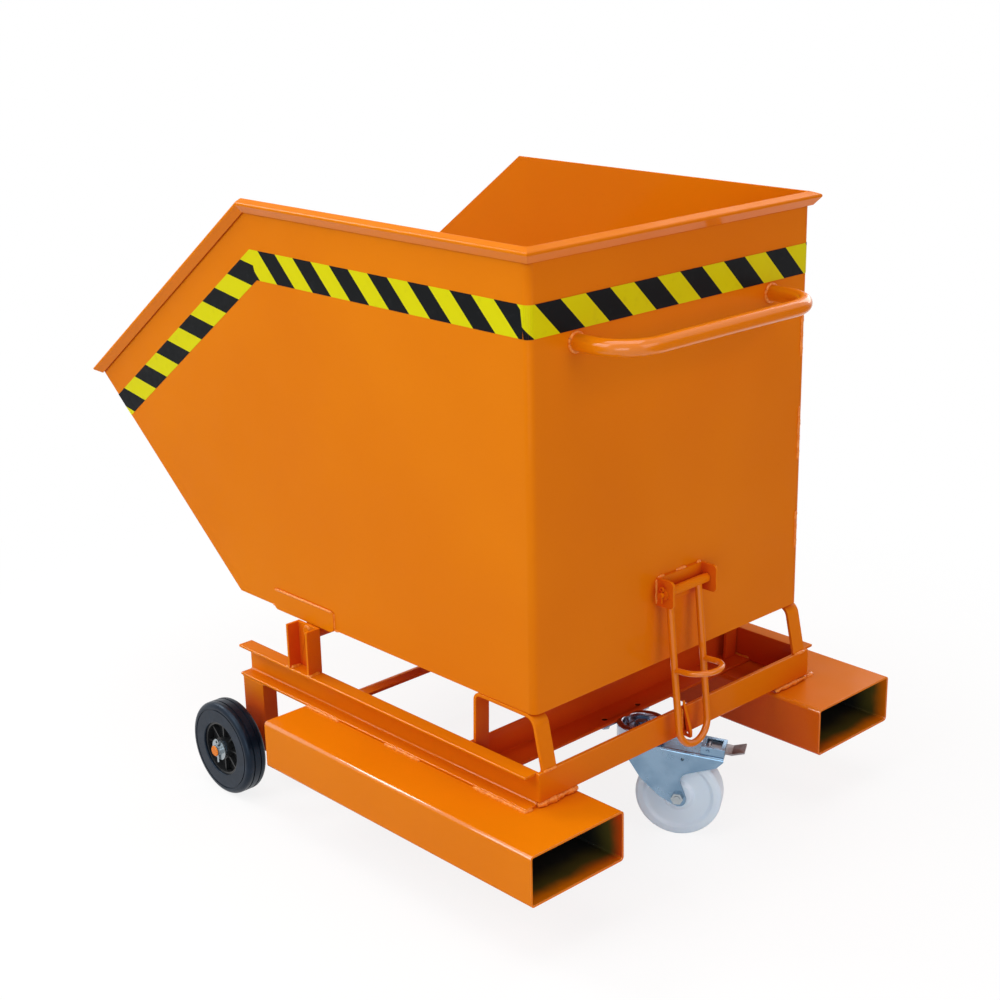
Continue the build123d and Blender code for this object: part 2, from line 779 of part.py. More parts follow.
with BuildPart() as latch_bail:
    half_span = bail_span / 2
    bend_drop = bail_length - half_span
    with BuildLine(bail_plane) as bail_path:
        Line((half_span, 0), (half_span, -bend_drop))
        ThreePointArc((half_span, -bend_drop), (0, -bail_length), (-half_span, -bend_drop))
        Line((-half_span, -bend_drop), (-half_span, 0))
    with BuildSketch(Plane(origin=latch_pin_middle + Vector(0, half_span, 0), z_dir=bail_up)):
        Circle(bail_radius)
    sweep(path=bail_path.line)
    with BuildSketch(cross_plane(latch_pin_x, 0, latch_pin_z)):
        Circle(sleeve_diameter / 2)
    extrude(amount=bail_span, both=True, mode=Mode.SUBTRACT)
keep(latch_bail, "latch_bail")

with BuildPart() as pull_ring:
    ring_middle = latch_pin_middle - bail_up * pull_ring_drop
    ring_plane = Plane(origin=ring_middle, x_dir=(0, 1, 0), z_dir=bail_up)
    with BuildLine(ring_plane) as ring_path:
        Line((half_span, 0), (half_span, pull_ring_straight))
        ThreePointArc(
            (half_span, pull_ring_straight),
            (0, pull_ring_straight + half_span),
            (-half_span, pull_ring_straight),
        )
        Line((-half_span, pull_ring_straight), (-half_span, 0))
    with BuildSketch(Plane(origin=ring_middle + Vector(0, half_span, 0), z_dir=bail_forward)):
        Circle(pull_ring_diameter / 2)
    sweep(path=ring_path.line)
    add(latch_bail.part, mode=Mode.SUBTRACT)
keep(pull_ring, "pull_ring")

# Caster planes: one upright along the wheel's heading, one level, both through the swivel axis
heading = Vector(cos(radians(caster_heading)), sin(radians(caster_heading)), 0)
fork_plane = Plane(origin=(swivel_x, 0, 0), x_dir=heading, z_dir=heading.cross(Vector(0, 0, 1)))
swivel_axis = Axis((swivel_x, 0, 0), (0, 0, 1))
caster_axle_plane = Plane(
    origin=Vector(swivel_x, 0, caster_radius) + heading * caster_trail, x_dir=heading, z_dir=fork_plane.z_dir
)
caster_axis = Axis(caster_axle_plane.origin, caster_axle_plane.z_dir)
cheek_y = fork_inside_width / 2 + fork_sheet


def swivel_plane(z):
    """Level plane through the swivel axis, with its X axis along the wheel's heading."""
    return Plane(origin=(swivel_x, 0, z), x_dir=heading, z_dir=(0, 0, 1))


# Caster head: a pressed dish round the kingpin, with a tongue bolted under the cross angle
with BuildPart() as caster_head:
    head_radius = head_diameter / 2
    dish_radius = head_dish_diameter / 2
    rim_top = head_height + angle_wall
    rim_inside = head_radius - head_rim_width
    with BuildSketch(Plane(origin=(swivel_x, 0, head_z), x_dir=(1, 0, 0), z_dir=(0, -1, 0))) as head_sketch:
        Polygon(
            (kingpin_diameter / 2 + running_fit, head_height - head_dish_depth - head_sheet),
            (kingpin_diameter / 2 + running_fit, head_height - head_dish_depth),
            (dish_radius, head_height - head_dish_depth),
            (rim_inside, rim_top),
            (head_radius, rim_top),
            (head_radius, 0),
            (head_radius - head_sheet, 0),
            (head_radius - head_sheet, rim_top - head_sheet),
            (rim_inside + head_sheet / 2, rim_top - head_sheet),
            (dish_radius + head_sheet / 2, head_height - head_dish_depth - head_sheet),
            align=None,
        )
        fillet(head_sketch.vertices().group_by(Axis.Y)[-1], radius=head_rim_radius)
    revolve(axis=swivel_axis)
    add(cross_angle.part, mode=Mode.SUBTRACT)
    with BuildSketch(Plane.XY.offset(deck_z)):
        with Locations((angle_x + head_tongue_setback, 0)):
            Rectangle(
                head_tongue_end - angle_from_wall - head_tongue_setback,
                head_tongue_width,
                align=(Align.MIN, Align.CENTER),
            )
        with Locations((swivel_x, 0)):
            Circle(head_radius - head_sheet, mode=Mode.SUBTRACT)
        with Locations((angle_x + head_bolt_from_angle, 0)):
            with GridLocations(0, head_bolt_spacing, 1, 2):
                Circle(head_bolt_diameter / 2 + running_fit, mode=Mode.SUBTRACT)
    extrude(amount=-head_sheet)
keep(caster_head, "caster_head")

with BuildPart() as head_bolts:
    tongue_bottom = Plane.XY.offset(deck_z - head_sheet)
    with BuildSketch(tongue_bottom):
        with Locations((angle_x + head_bolt_from_angle, 0)):
            with GridLocations(0, head_bolt_spacing, 1, 2):
                RegularPolygon(head_bolt_flats / 2, 6, major_radius=False)
    extrude(amount=-head_bolt_head)
    with BuildSketch(tongue_bottom):
        with Locations((angle_x + head_bolt_from_angle, 0)):
            with GridLocations(0, head_bolt_spacing, 1, 2):
                Circle(head_bolt_diameter / 2)
    extrude(amount=head_sheet + angle_wall - head_bolt_recess)
keep(head_bolts, "caster_head_bolts")

with BuildPart() as kingpin:
    dish_z = deck_z - head_dish_depth
    kingpin_bottom_z = crown_z - fork_sheet - end_play
    with BuildSketch(swivel_plane(kingpin_bottom_z)):
        Circle(kingpin_head_diameter / 2)
    extrude(amount=-kingpin_head)
    with BuildSketch(swivel_plane(kingpin_bottom_z)):
        Circle(kingpin_diameter / 2)
    extrude(amount=dish_z + 1.2 * kingpin_nut_height - kingpin_bottom_z)
keep(kingpin, "caster_kingpin")

with BuildPart() as kingpin_nut:
    with BuildSketch(swivel_plane(dish_z)):
        RegularPolygon(kingpin_nut_flats / 2, 6, major_radius=False)
        Circle(kingpin_diameter / 2 + running_fit, mode=Mode.SUBTRACT)
    extrude(amount=kingpin_nut_height)
keep(kingpin_nut, "caster_kingpin_nut")

# Caster fork: a pressed cover over the wheel, with cheeks that run down to the wheel bolt
tail = caster_trail + fork_tail
tail_z = crown_z - fork_tail_drop
slope_start = caster_trail - fork_nose
arm_top = (caster_trail, caster_radius + 2.6 * fork_tip_radius)


def web_line(depth):
    """Corner points of the fork's top face, or of a line the given depth under it, nose to tail."""
    return [(-2 * fork_nose, crown_z - depth), (slope_start, crown_z - depth), (tail, tail_z - depth)]


with BuildPart() as fork_hollow:
    with BuildSketch(fork_plane):
        Polygon(
            (2 * tail, tail_z - fork_sheet),
            (2 * tail, 0),
            (-2 * fork_nose, 0),
            *web_line(fork_sheet),
            align=None,
        )
    extrude(amount=2 * cheek_y, both=True)
    inside_y = cheek_y - fork_sheet
    with BuildSketch(swivel_plane(0)):
        Polygon(
            (-2 * fork_nose, inside_y + fork_flare),
            (slope_start, inside_y),
            (2 * tail, inside_y),
            (2 * tail, -inside_y),
            (slope_start, -inside_y),
            (-2 * fork_nose, -inside_y - fork_flare),
            align=None,
        )
    extrude(amount=crown_z, mode=Mode.INTERSECT)

with BuildPart() as caster_fork:
    with BuildSketch(fork_plane):
        with BuildLine():
            FilletPolyline(
                (-fork_nose, crown_z),
                (caster_trail - 4 * fork_tip_radius, caster_radius + 2.2 * fork_tip_radius),
                (caster_trail - 2 * fork_tip_radius, caster_radius),
                (caster_trail, caster_radius - 1.08 * fork_tip_radius),
                (caster_trail + 1.2 * fork_tip_radius, caster_radius - 0.9 * fork_tip_radius),
                arm_top,
                (tail - fork_tail_depth, tail_z - 1.5 * fork_tail_depth),
                (tail, tail_z - fork_tail_depth / 2),
                (tail, tail_z),
                (slope_start, crown_z),
                radius=(
                    0,
                    2 * fork_tip_radius,
                    fork_tip_radius,
                    0.6 * fork_tip_radius,
                    0.8 * fork_tip_radius,
                    fork_tip_radius,
                    0.2 * fork_tip_radius,
                    0,
                    0,
                    0,
                ),
                close=True,
            )
        make_face()
    extrude(amount=2 * cheek_y, both=True)
    with BuildSketch(swivel_plane(0)):
        Polygon(
            (-2 * fork_nose, cheek_y + fork_flare),
            (slope_start, cheek_y),
            (2 * tail, cheek_y),
            (2 * tail, -cheek_y),
            (slope_start, -cheek_y),
            (-2 * fork_nose, -cheek_y - fork_flare),
            align=None,
        )
    extrude(amount=crown_z, mode=Mode.INTERSECT)
    slope_edges = caster_fork.edges().filter_by(
        lambda edge: edge.length > fork_tail and 0.05 < abs((edge @ 1 - edge @ 0).Z) / edge.length < 0.3
    )
    fillet(slope_edges, radius=fork_fold_radius)
    add(fork_hollow.part, mode=Mode.SUBTRACT)
    with BuildSketch(swivel_plane(crown_z)):
        Circle(kingpin_diameter / 2 + running_fit)
    extrude(amount=-2 * fork_sheet, mode=Mode.SUBTRACT)
    with BuildSketch(caster_axle_plane):
        Circle(caster_bolt_diameter / 2 + running_fit)
    extrude(amount=2 * cheek_y, both=True, mode=Mode.SUBTRACT)
    with BuildSketch(fork_plane):
        with Locations((caster_trail + fork_hole_from_axle, crown_z - fork_hole_drop)):
            Circle(fork_hole_diameter / 2)
    extrude(amount=2 * cheek_y, both=True, mode=Mode.SUBTRACT)
keep(caster_fork, "caster_fork")

with BuildPart() as swivel_bearing:
    with BuildSketch(swivel_plane(crown_z)):
        Circle(swivel_bearing_diameter / 2)
        Circle(swivel_bearing_diameter / 2 - swivel_bearing_width, mode=Mode.SUBTRACT)
    extrude(amount=swivel_bearing_height)
keep(swivel_bearing, "swivel_bearing")

# Caster wheel, its bush, and the bolt and nut through the fork
with BuildPart() as caster_wheel:
    caster_bush_radius = caster_bolt_diameter / 2 + running_fit + caster_bush_wall
    recess_inner = caster_hub_diameter / 2
    recess_outer = caster_radius - caster_recess_margin
    half_wheel = caster_wheel_width / 2
    half_web = half_wheel - caster_recess_depth
    wheel_side = [
        (caster_bush_radius, caster_hub_length / 2),
        (recess_inner, caster_hub_length / 2),
        (recess_inner + caster_recess_depth, half_web),
        (recess_outer - caster_recess_depth, half_web),
        (recess_outer, half_wheel),
        (caster_radius, half_wheel),
    ]
    section_plane = Plane(origin=caster_axle_plane.origin, x_dir=heading, z_dir=(0, 0, 1))
    with BuildSketch(section_plane) as caster_sketch:
        Polygon(*wheel_side, *[(radius, -side) for radius, side in reversed(wheel_side)], align=None)
        fillet(caster_sketch.vertices().group_by(Axis.X)[-1], radius=caster_wheel_edge_radius)
        recess_corners = caster_sketch.vertices().filter_by_position(Axis.X, recess_inner, recess_outer)
        fillet(recess_corners, radius=caster_recess_radius)
    revolve(axis=caster_axis)
keep(caster_wheel, "caster_wheel")

with BuildPart() as caster_bush:
    with BuildSketch(caster_axle_plane):
        Circle(caster_bush_radius)
        Circle(caster_bolt_diameter / 2 + running_fit, mode=Mode.SUBTRACT)
    extrude(amount=fork_inside_width / 2 - end_play, both=True)
keep(caster_bush, "caster_wheel_bush")

with BuildPart() as caster_bolt:
    with BuildSketch(caster_axle_plane.offset(-cheek_y)):
        Circle(caster_bolt_diameter / 2)
    extrude(amount=2 * cheek_y + 1.2 * caster_bolt_head)
    with BuildSketch(caster_axle_plane.offset(-cheek_y)):
        RegularPolygon(caster_bolt_flats / 2, 6, major_radius=False)
    extrude(amount=-caster_bolt_head)
keep(caster_bolt, "caster_wheel_bolt")

with BuildPart() as caster_nut:
    with BuildSketch(caster_axle_plane.offset(cheek_y)):
        RegularPolygon(caster_bolt_flats / 2, 6, major_radius=False)
        Circle(caster_bolt_diameter / 2 + running_fit, mode=Mode.SUBTRACT)
    extrude(amount=caster_bolt_head)
keep(caster_nut, "caster_wheel_nut")

# Brake: a bent cover with a window on the fork's sloped tail, and the pedal on a pin between its sides
fork_slope = atan2(fork_tail_drop, tail - slope_start)
brake_plane = Plane(
    origin=Vector(swivel_x, 0, tail_z) + heading * tail,
    x_dir=heading * cos(fork_slope) - Vector(0, 0, sin(fork_slope)),
    z_dir=fork_plane.z_dir,
)
brake_pin_place = (brake_pin_setback - brake_housing_length, brake_pin_rise)

with BuildPart() as brake_housing:
    with BuildSketch(brake_plane):
        Rectangle(brake_housing_length, brake_housing_height, align=(Align.MAX, Align.MIN))
    extrude(amount=brake_housing_width / 2, both=True)
    with BuildSketch(brake_plane):
        Rectangle(brake_housing_length, brake_housing_height - brake_sheet, align=(Align.MAX, Align.MIN))
    extrude(amount=brake_housing_width / 2 - brake_sheet, both=True, mode=Mode.SUBTRACT)
    with BuildSketch(brake_plane):
        with Locations((-brake_window_margin, 0)):
            Rectangle(
                brake_housing_length - 2 * brake_window_margin,
                brake_housing_height,
                align=(Align.MAX, Align.MIN),
            )
    extrude(amount=brake_housing_width / 2 - brake_window_margin, both=True, mode=Mode.SUBTRACT)
    with BuildSketch(brake_plane):
        with Locations(brake_pin_place):
            Circle(brake_pin_diameter / 2 + running_fit)
    extrude(amount=brake_housing_width, both=True, mode=Mode.SUBTRACT)
keep(brake_housing, "brake_housing")

with BuildPart() as brake_pin:
    with BuildSketch(brake_plane):
        with Locations(brake_pin_place):
            Circle(brake_pin_diameter / 2)
    extrude(amount=brake_housing_width / 2 + brake_sheet, both=True)
keep(brake_pin, "brake_pin")

with BuildPart() as brake_pedal:
    pedal_end = brake_pin_place[0] + brake_pedal_reach
    with BuildSketch(brake_plane):
        with BuildLine():
            Polyline(
                brake_pin_place,
                (pedal_end - brake_pedal_tip, brake_pin_rise),
                (pedal_end, brake_pin_rise + brake_pedal_rise),
            )
        trace(line_width=brake_pedal_thickness)
        with Locations(brake_pin_place):
            Circle(brake_boss_diameter / 2)
            Circle(brake_pin_diameter / 2 + running_fit, mode=Mode.SUBTRACT)
    extrude(amount=brake_pedal_width / 2, both=True)
keep(brake_pedal, "brake_pedal")
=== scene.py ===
"""Looks of the box trolley: powder coat, hazard tape, weld beads, metals, nylon, rubber, light and camera."""

import json
from math import atan2, ceil, cos, floor, pi, radians, sin

import bpy
from mathutils import Matrix, Vector


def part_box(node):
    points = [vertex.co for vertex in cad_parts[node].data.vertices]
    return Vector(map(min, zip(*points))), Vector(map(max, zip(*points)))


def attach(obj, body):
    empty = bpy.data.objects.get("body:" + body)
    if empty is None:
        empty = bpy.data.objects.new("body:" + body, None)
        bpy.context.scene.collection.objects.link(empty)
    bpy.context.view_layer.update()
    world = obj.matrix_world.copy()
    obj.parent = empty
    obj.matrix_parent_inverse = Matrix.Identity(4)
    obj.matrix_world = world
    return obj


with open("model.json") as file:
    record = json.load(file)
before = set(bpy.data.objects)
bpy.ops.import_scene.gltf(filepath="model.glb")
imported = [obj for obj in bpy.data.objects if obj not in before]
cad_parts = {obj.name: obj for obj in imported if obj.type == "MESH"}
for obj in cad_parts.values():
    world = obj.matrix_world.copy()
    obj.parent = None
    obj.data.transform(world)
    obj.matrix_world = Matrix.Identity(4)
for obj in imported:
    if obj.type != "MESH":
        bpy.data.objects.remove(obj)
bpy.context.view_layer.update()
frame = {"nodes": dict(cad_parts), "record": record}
nodes = frame["nodes"]

# Places that the pieces below are measured from, in metres
wall_low, wall_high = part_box("left_rear_wall")
REAR = wall_low.x
SIDE = wall_high.y
TOP = wall_high.z
FLOOR = wall_low.z
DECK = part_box("fork_pocket_left")[1].z
CHANNEL_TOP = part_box("frame_channel_left")[1].z
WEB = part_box("frame_channel_left")[0].y
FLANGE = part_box("frame_channel_left")[1].y


class Graph:
    """Node graph of one procedural material, placed by the row frame's own metres."""

    def __init__(self, name):
        self.material = bpy.data.materials.new(name)
        self.material.use_nodes = True
        self.tree = self.material.node_tree
        self.shader = self.tree.nodes["Principled BSDF"]
        coordinates = self.tree.nodes.new("ShaderNodeTexCoord")
        self.place = coordinates.outputs["Object"]
        self.facing = coordinates.outputs["Normal"]

    def feed(self, socket, value):
        """Links an output to a socket, or sets the socket's own value."""
        if isinstance(value, bpy.types.NodeSocket):
            self.tree.links.new(value, socket)
        else:
            socket.default_value = value

    def surface(self, **values):
        """Feeds the shader's sockets; underscores in a name stand for spaces."""
        for name, value in values.items():
            self.feed(self.shader.inputs[name.replace("_", " ")], value)

    def noise(self, scale, detail=3.0, roughness=0.55, stretch=(1, 1, 1)):
        """Noise over the surface, in cycles per metre, from 0 to 1."""
        mapping = self.tree.nodes.new("ShaderNodeMapping")
        mapping.inputs["Scale"].default_value = stretch
        self.feed(mapping.inputs["Vector"], self.place)
        node = self.tree.nodes.new("ShaderNodeTexNoise")
        node.inputs["Scale"].default_value = scale
        node.inputs["Detail"].default_value = detail
        node.inputs["Roughness"].default_value = roughness
        self.feed(node.inputs["Vector"], mapping.outputs["Vector"])
        return node.outputs["Fac"]

    def span(self, value, low, high, first, last):
        """Maps low to high onto first to last, smoothly and clamped."""
        node = self.tree.nodes.new("ShaderNodeMapRange")
        node.interpolation_type = "SMOOTHSTEP"
        self.feed(node.inputs["Value"], value)
        for name, number in zip(("From Min", "From Max", "To Min", "To Max"), (low, high, first, last)):
            node.inputs[name].default_value = number
        return node.outputs["Result"]

    def sum(self, kind, a, b):
        """One Math node on two values."""
        node = self.tree.nodes.new("ShaderNodeMath")
        node.operation = kind
        self.feed(node.inputs[0], a)
        self.feed(node.inputs[1], b)
        return node.outputs["Value"]

    def blend(self, factor, a, b):
        """Colour between a and b."""
        node = self.tree.nodes.new("ShaderNodeMix")
        node.data_type = "RGBA"
        self.feed(node.inputs[0], factor)
        self.feed(node.inputs[6], a)
        self.feed(node.inputs[7], b)
        return node.outputs[2]

    def bump(self, height, distance, strength=1.0, under=None):
        """Surface relief of the given depth in metres, over an earlier relief if there is one."""
        node = self.tree.nodes.new("ShaderNodeBump")
        node.inputs["Strength"].default_value = strength
        node.inputs["Distance"].default_value = distance
        self.feed(node.inputs["Height"], height)
        if under is not None:
            self.feed(node.inputs["Normal"], under)
        return node.outputs["Normal"]

    def shade(self, distance):
        """1 where the surface is open, towards 0 where other steel within the distance closes it in."""
        node = self.tree.nodes.new("ShaderNodeAmbientOcclusion")
        node.samples = 8
        node.inputs["Distance"].default_value = distance
        return node.outputs["AO"]

    def split(self, vector):
        """A vector's X, Y and Z as three values."""
        node = self.tree.nodes.new("ShaderNodeSeparateXYZ")
        self.feed(node.inputs[0], vector)
        return node.outputs

    def bends(self):
        """0 on faces square to an axis, 1 on rounded edges and tubes that face between two axes."""
        x, y, z = (self.sum("ABSOLUTE", part, 0.0) for part in self.split(self.facing))
        return self.span(self.sum("MAXIMUM", self.sum("MAXIMUM", x, y), z), 0.84, 0.98, 1.0, 0.0)


def rgb(red, green, blue):
    """Linear colour from 8-bit screen values."""
    channels = []
    for value in (red, green, blue):
        part = value / 255
        channels.append(part / 12.92 if part <= 0.04045 else ((part + 0.055) / 1.055) ** 2.4)
    return (*channels, 1.0)


# Powder coat: weight of the gloss on faces and on bends, and its refraction on rims, rolled steel and pockets
FACE_COAT = 0.05
BEND_COAT = 0.85
RIM_GLOSS = 1.2
ROLLED_GLOSS = 1.5
POCKET_GLOSS = 2.0

# Painted shade: how far the paint turns to a dark red where other steel closes it in, for sheet, tubes, and
# the frame's inside and outside
SHEET_PAINTED_SHADE = 0.85
TUBE_PAINTED_SHADE = 0.25
INSIDE_PAINTED_SHADE = 0.9
OUTSIDE_PAINTED_SHADE = 0.35


def paint_colour(graph, painted_shade):
    """Orange powder coat with slow changes of tone and faint specks, and painted shade: redder where steel
    faces steel, less so on faces that point up.
    """
    slow = graph.span(graph.noise(2.2, 2.0), 0.3, 0.7, 0.0, 1.0)
    tone = graph.blend(slow, rgb(220, 118, 3), rgb(226, 125, 4))
    specks = graph.span(graph.noise(170, 2.0), 0.66, 0.80, 0.0, 0.12)
    speckled = graph.blend(specks, tone, rgb(180, 80, 4))
    # Painted shade: occlusion within half a metre, eased on up-facing faces, blends the coat towards dark red
    # rgb(206, 56, 22)
    upward = graph.sum("MULTIPLY", graph.sum("MAXIMUM", graph.split(graph.facing)[2], 0.0), 0.15)
    painted_shade_mask = graph.span(graph.sum("ADD", graph.shade(0.5), upward), 0.20, 0.86, 1.0, 0.0)
    return graph.blend(graph.sum("MULTIPLY", painted_shade_mask, painted_shade), speckled, rgb(206, 56, 22))


def paint_finish(graph, gloss):
    """Orange peel of the powder coat, and its gloss. The gloss is the coat's refraction on the bends of tubes
    and sections; sheet has none, and its folds stay as matt as its faces."""
    coat = graph.span(graph.bends(), 0.0, 1.0, FACE_COAT, BEND_COAT) if gloss else FACE_COAT
    waves = graph.bump(graph.noise(9, 1.0), 0.004, 0.06)
    graph.surface(
        Roughness=graph.span(graph.noise(14, 3.0), 0.25, 0.75, 0.40, 0.52),
        Normal=graph.bump(graph.noise(420, 2.0), 0.0004, 0.12, waves),
        Specular_IOR_Level=0.03,
        Coat_Weight=coat,
        Coat_IOR=gloss or ROLLED_GLOSS,
        Coat_Roughness=graph.span(graph.noise(11, 2.0), 0.25, 0.75, 0.06, 0.10),
    )


def make_paint(name, gloss, painted_shade):
    """Powder coat of one kind of piece."""
    graph = Graph(name)
    graph.surface(Base_Color=paint_colour(graph, painted_shade))
    paint_finish(graph, gloss)
    return graph.material


def make_frame_paint():
    """Powder coat of the frame, with painted shade: redder on the faces that look into it."""
    graph = Graph("orange_frame_coat")
    outward = graph.sum("ABSOLUTE", graph.split(graph.place)[1], 0.0)
    # Painted shade: faces inward of the channel web get the stronger weight of painted red shade
    painted_shade = graph.span(outward, WEB + 0.001, WEB + 0.004, INSIDE_PAINTED_SHADE, OUTSIDE_PAINTED_SHADE)
    graph.surface(Base_Color=paint_colour(graph, painted_shade))
    paint_finish(graph, ROLLED_GLOSS)
    return graph.material


def make_pocket_paint():
    """Powder coat outside, with painted shade that reddens the inner side; inside the tube it turns olive and
    then near black with depth from both mouths.
    """
    graph = Graph("pocket_powder_coat")
    low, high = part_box("fork_pocket_left")
    wall = 0.0045
    x, y, z = graph.split(graph.place)
    outward = graph.sum("ABSOLUTE", y, 0.0)
    across = graph.sum("ABSOLUTE", graph.sum("SUBTRACT", outward, (low.y + high.y) / 2), 0.0)
    upright = graph.sum("ABSOLUTE", graph.sum("SUBTRACT", z, (low.z + high.z) / 2), 0.0)
    inside_y = graph.sum("LESS_THAN", across, (high.y - low.y) / 2 - wall + 0.0015)
    inside_z = graph.sum("LESS_THAN", upright, (high.z - low.z) / 2 - wall + 0.0015)
    depth = graph.sum("MINIMUM", graph.sum("SUBTRACT", x, low.x), graph.sum("SUBTRACT", high.x, x))
    ragged = graph.sum("ADD", depth, graph.span(graph.noise(14, 2.0), 0.2, 0.8, -0.006, 0.006))
    inside = graph.sum("MULTIPLY", inside_y, inside_z)
    # Inside the tube the colour turns olive and then near black with depth from both mouths
    thin = graph.sum("MULTIPLY", inside, graph.span(ragged, 0.004, 0.034, 0.0, 1.0))
    bare = graph.sum("MULTIPLY", inside, graph.span(ragged, 0.022, 0.075, 0.0, 1.0))
    scale = graph.blend(graph.noise(60, 4.0), rgb(20, 22, 22), rgb(40, 40, 36))
    # Painted shade: the pocket's inner side turns redder than its outer side
    painted_shade = graph.span(outward, low.y + 0.02, high.y - 0.06, SHEET_PAINTED_SHADE, 0.12)
    dusted = graph.blend(thin, paint_colour(graph, painted_shade), rgb(88, 82, 34))
    graph.surface(Base_Color=graph.blend(bare, dusted, scale))
    paint_finish(graph, POCKET_GLOSS)
    return graph.material


def make_axle_paint():
    """Powder coat, rubbed to bright steel at the washers and split pins, with paint left on both ends."""
    graph = Graph("orange_axle_coat")
    outward = graph.sum("ABSOLUTE", graph.split(graph.place)[1], 0.0)
    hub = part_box("axle_washers")[1].y
    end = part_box("front_axle")[1].y
    rubbed = graph.span(outward, hub - 0.005, hub - 0.004, 0.0, 1.0)
    bare = graph.sum("MULTIPLY", rubbed, graph.span(outward, end - 0.0022, end - 0.0012, 1.0, 0.0))
    steel = graph.blend(graph.noise(60, 2.0), rgb(150, 160, 166), rgb(180, 188, 192))
    graph.surface(
        Base_Color=graph.blend(bare, paint_colour(graph, TUBE_PAINTED_SHADE), steel),
        Metallic=graph.sum("MULTIPLY", bare, 0.85),
        Roughness=graph.span(graph.noise(80, 2.0), 0.25, 0.75, 0.20, 0.32),
        Specular_IOR_Level=0.2,
    )
    return graph.material


def make_weld_paint():
    """Powder coat over a weld bead, thin on the ripples so it shines more; its paler crests are partly thin
    coat and partly painted highlight.
    """
    graph = Graph("orange_weld_coat")
    ripple = graph.noise(190, 3.0)
    painted_highlight_crests = graph.span(ripple, 0.35, 0.75, 0.0, 1.0)
    graph.surface(
        # Painted highlight: the paler colour on the noise crests stands in part for highlights on the bead
        Base_Color=graph.blend(painted_highlight_crests, rgb(222, 118, 12), rgb(244, 156, 60)),
        Roughness=graph.span(graph.noise(90, 2.0), 0.25, 0.75, 0.30, 0.42),
        Normal=graph.bump(ripple, 0.0010, 0.35),
        Specular_IOR_Level=0.2,
        Coat_Weight=0.3,
        Coat_Roughness=0.16,
    )
    return graph.material


def make_zinc():
    """Bright zinc plating, a little cloudy."""
    graph = Graph("bright_zinc")
    cloud = graph.span(graph.noise(24, 2.0), 0.3, 0.7, 0.0, 1.0)
    graph.surface(
        Base_Color=graph.blend(cloud, rgb(114, 144, 170), rgb(136, 164, 188)),
        Metallic=0.8,
        Roughness=graph.span(graph.noise(40, 2.0), 0.25, 0.75, 0.20, 0.28),
        Normal=graph.bump(graph.noise(60, 1.0), 0.0006, 0.03),
    )
    return graph.material


def make_bolt():
    """Bright bolts, with painted shade: dark brown above the deck, where they end in holes."""
    graph = Graph("bolt_zinc")
    painted_hole_shade = graph.span(graph.split(graph.place)[2], DECK, DECK + 0.002, 0.0, 1.0)
    steel = graph.blend(graph.noise(60, 2.0), rgb(150, 160, 166), rgb(180, 188, 192))
    graph.surface(
        # Painted shade: the bolt ends in the holes above the deck are coloured dark brown
        Base_Color=graph.blend(painted_hole_shade, steel, rgb(40, 22, 12)),
        Metallic=0.85,
        Roughness=graph.span(graph.noise(80, 2.0), 0.25, 0.75, 0.16, 0.26),
    )
    return graph.material


def make_dark_zinc():
    """Smoked pressing of the brake lever."""
    graph = Graph("smoked_zinc")
    graph.surface(
        Base_Color=graph.blend(graph.noise(40, 2.0), rgb(108, 104, 106), rgb(136, 130, 132)),
        Metallic=0.8,
        Roughness=graph.span(graph.noise(60, 2.0), 0.25, 0.75, 0.26, 0.38),
        Normal=graph.bump(graph.noise(80, 1.0), 0.0004, 0.05),
    )
    return graph.material


def make_chrome():
    """Dark plated pressing of the caster's head, smooth enough to mirror its surroundings."""
    graph = Graph("dark_plating")
    graph.surface(
        Base_Color=graph.blend(graph.noise(30, 2.0), rgb(150, 156, 172), rgb(178, 184, 198)),
        Metallic=1.0,
        Roughness=graph.span(graph.noise(50, 2.0), 0.25, 0.75, 0.14, 0.22),
        Normal=graph.bump(graph.noise(60, 1.0), 0.0005, 0.05),
    )
    return graph.material


def make_nylon():
    """White nylon of the caster wheel, with a little light passing under its skin."""
    graph = Graph("white_nylon")
    graph.surface(
        Base_Color=graph.blend(graph.noise(18, 3.0), rgb(210, 234, 255), rgb(224, 242, 255)),
        Roughness=graph.span(graph.noise(80, 3.0), 0.25, 0.75, 0.28, 0.38),
        Normal=graph.bump(graph.noise(120, 2.0), 0.0003, 0.08),
        Subsurface_Weight=0.25,
        Subsurface_Radius=(0.006, 0.007, 0.008),
    )
    return graph.material


def make_tyre():
    """Dark rubber with a cool sheen and some dust."""
    graph = Graph("tyre_rubber")
    dust = graph.span(graph.noise(36, 4.0), 0.40, 0.85, 0.0, 0.5)
    graph.surface(
        Base_Color=graph.blend(dust, rgb(11, 18, 29), rgb(36, 48, 64)),
        Roughness=graph.span(graph.noise(120, 3.0), 0.25, 0.75, 0.30, 0.42),
        Normal=graph.bump(graph.noise(300, 3.0), 0.0004, 0.15),
        Specular_IOR_Level=0.3,
        Specular_Tint=(0.55, 0.75, 1.0, 1.0),
    )
    return graph.material


def make_black_plastic():
    """Grained plastic of the front wheels' rims."""
    graph = Graph("black_plastic")
    graph.surface(
        Base_Color=graph.blend(graph.noise(50, 3.0), rgb(20, 21, 22), rgb(34, 35, 37)),
        Roughness=graph.span(graph.noise(160, 3.0), 0.25, 0.75, 0.36, 0.50),
        Normal=graph.bump(graph.noise(700, 2.0), 0.0002, 0.25),
    )
    return graph.material


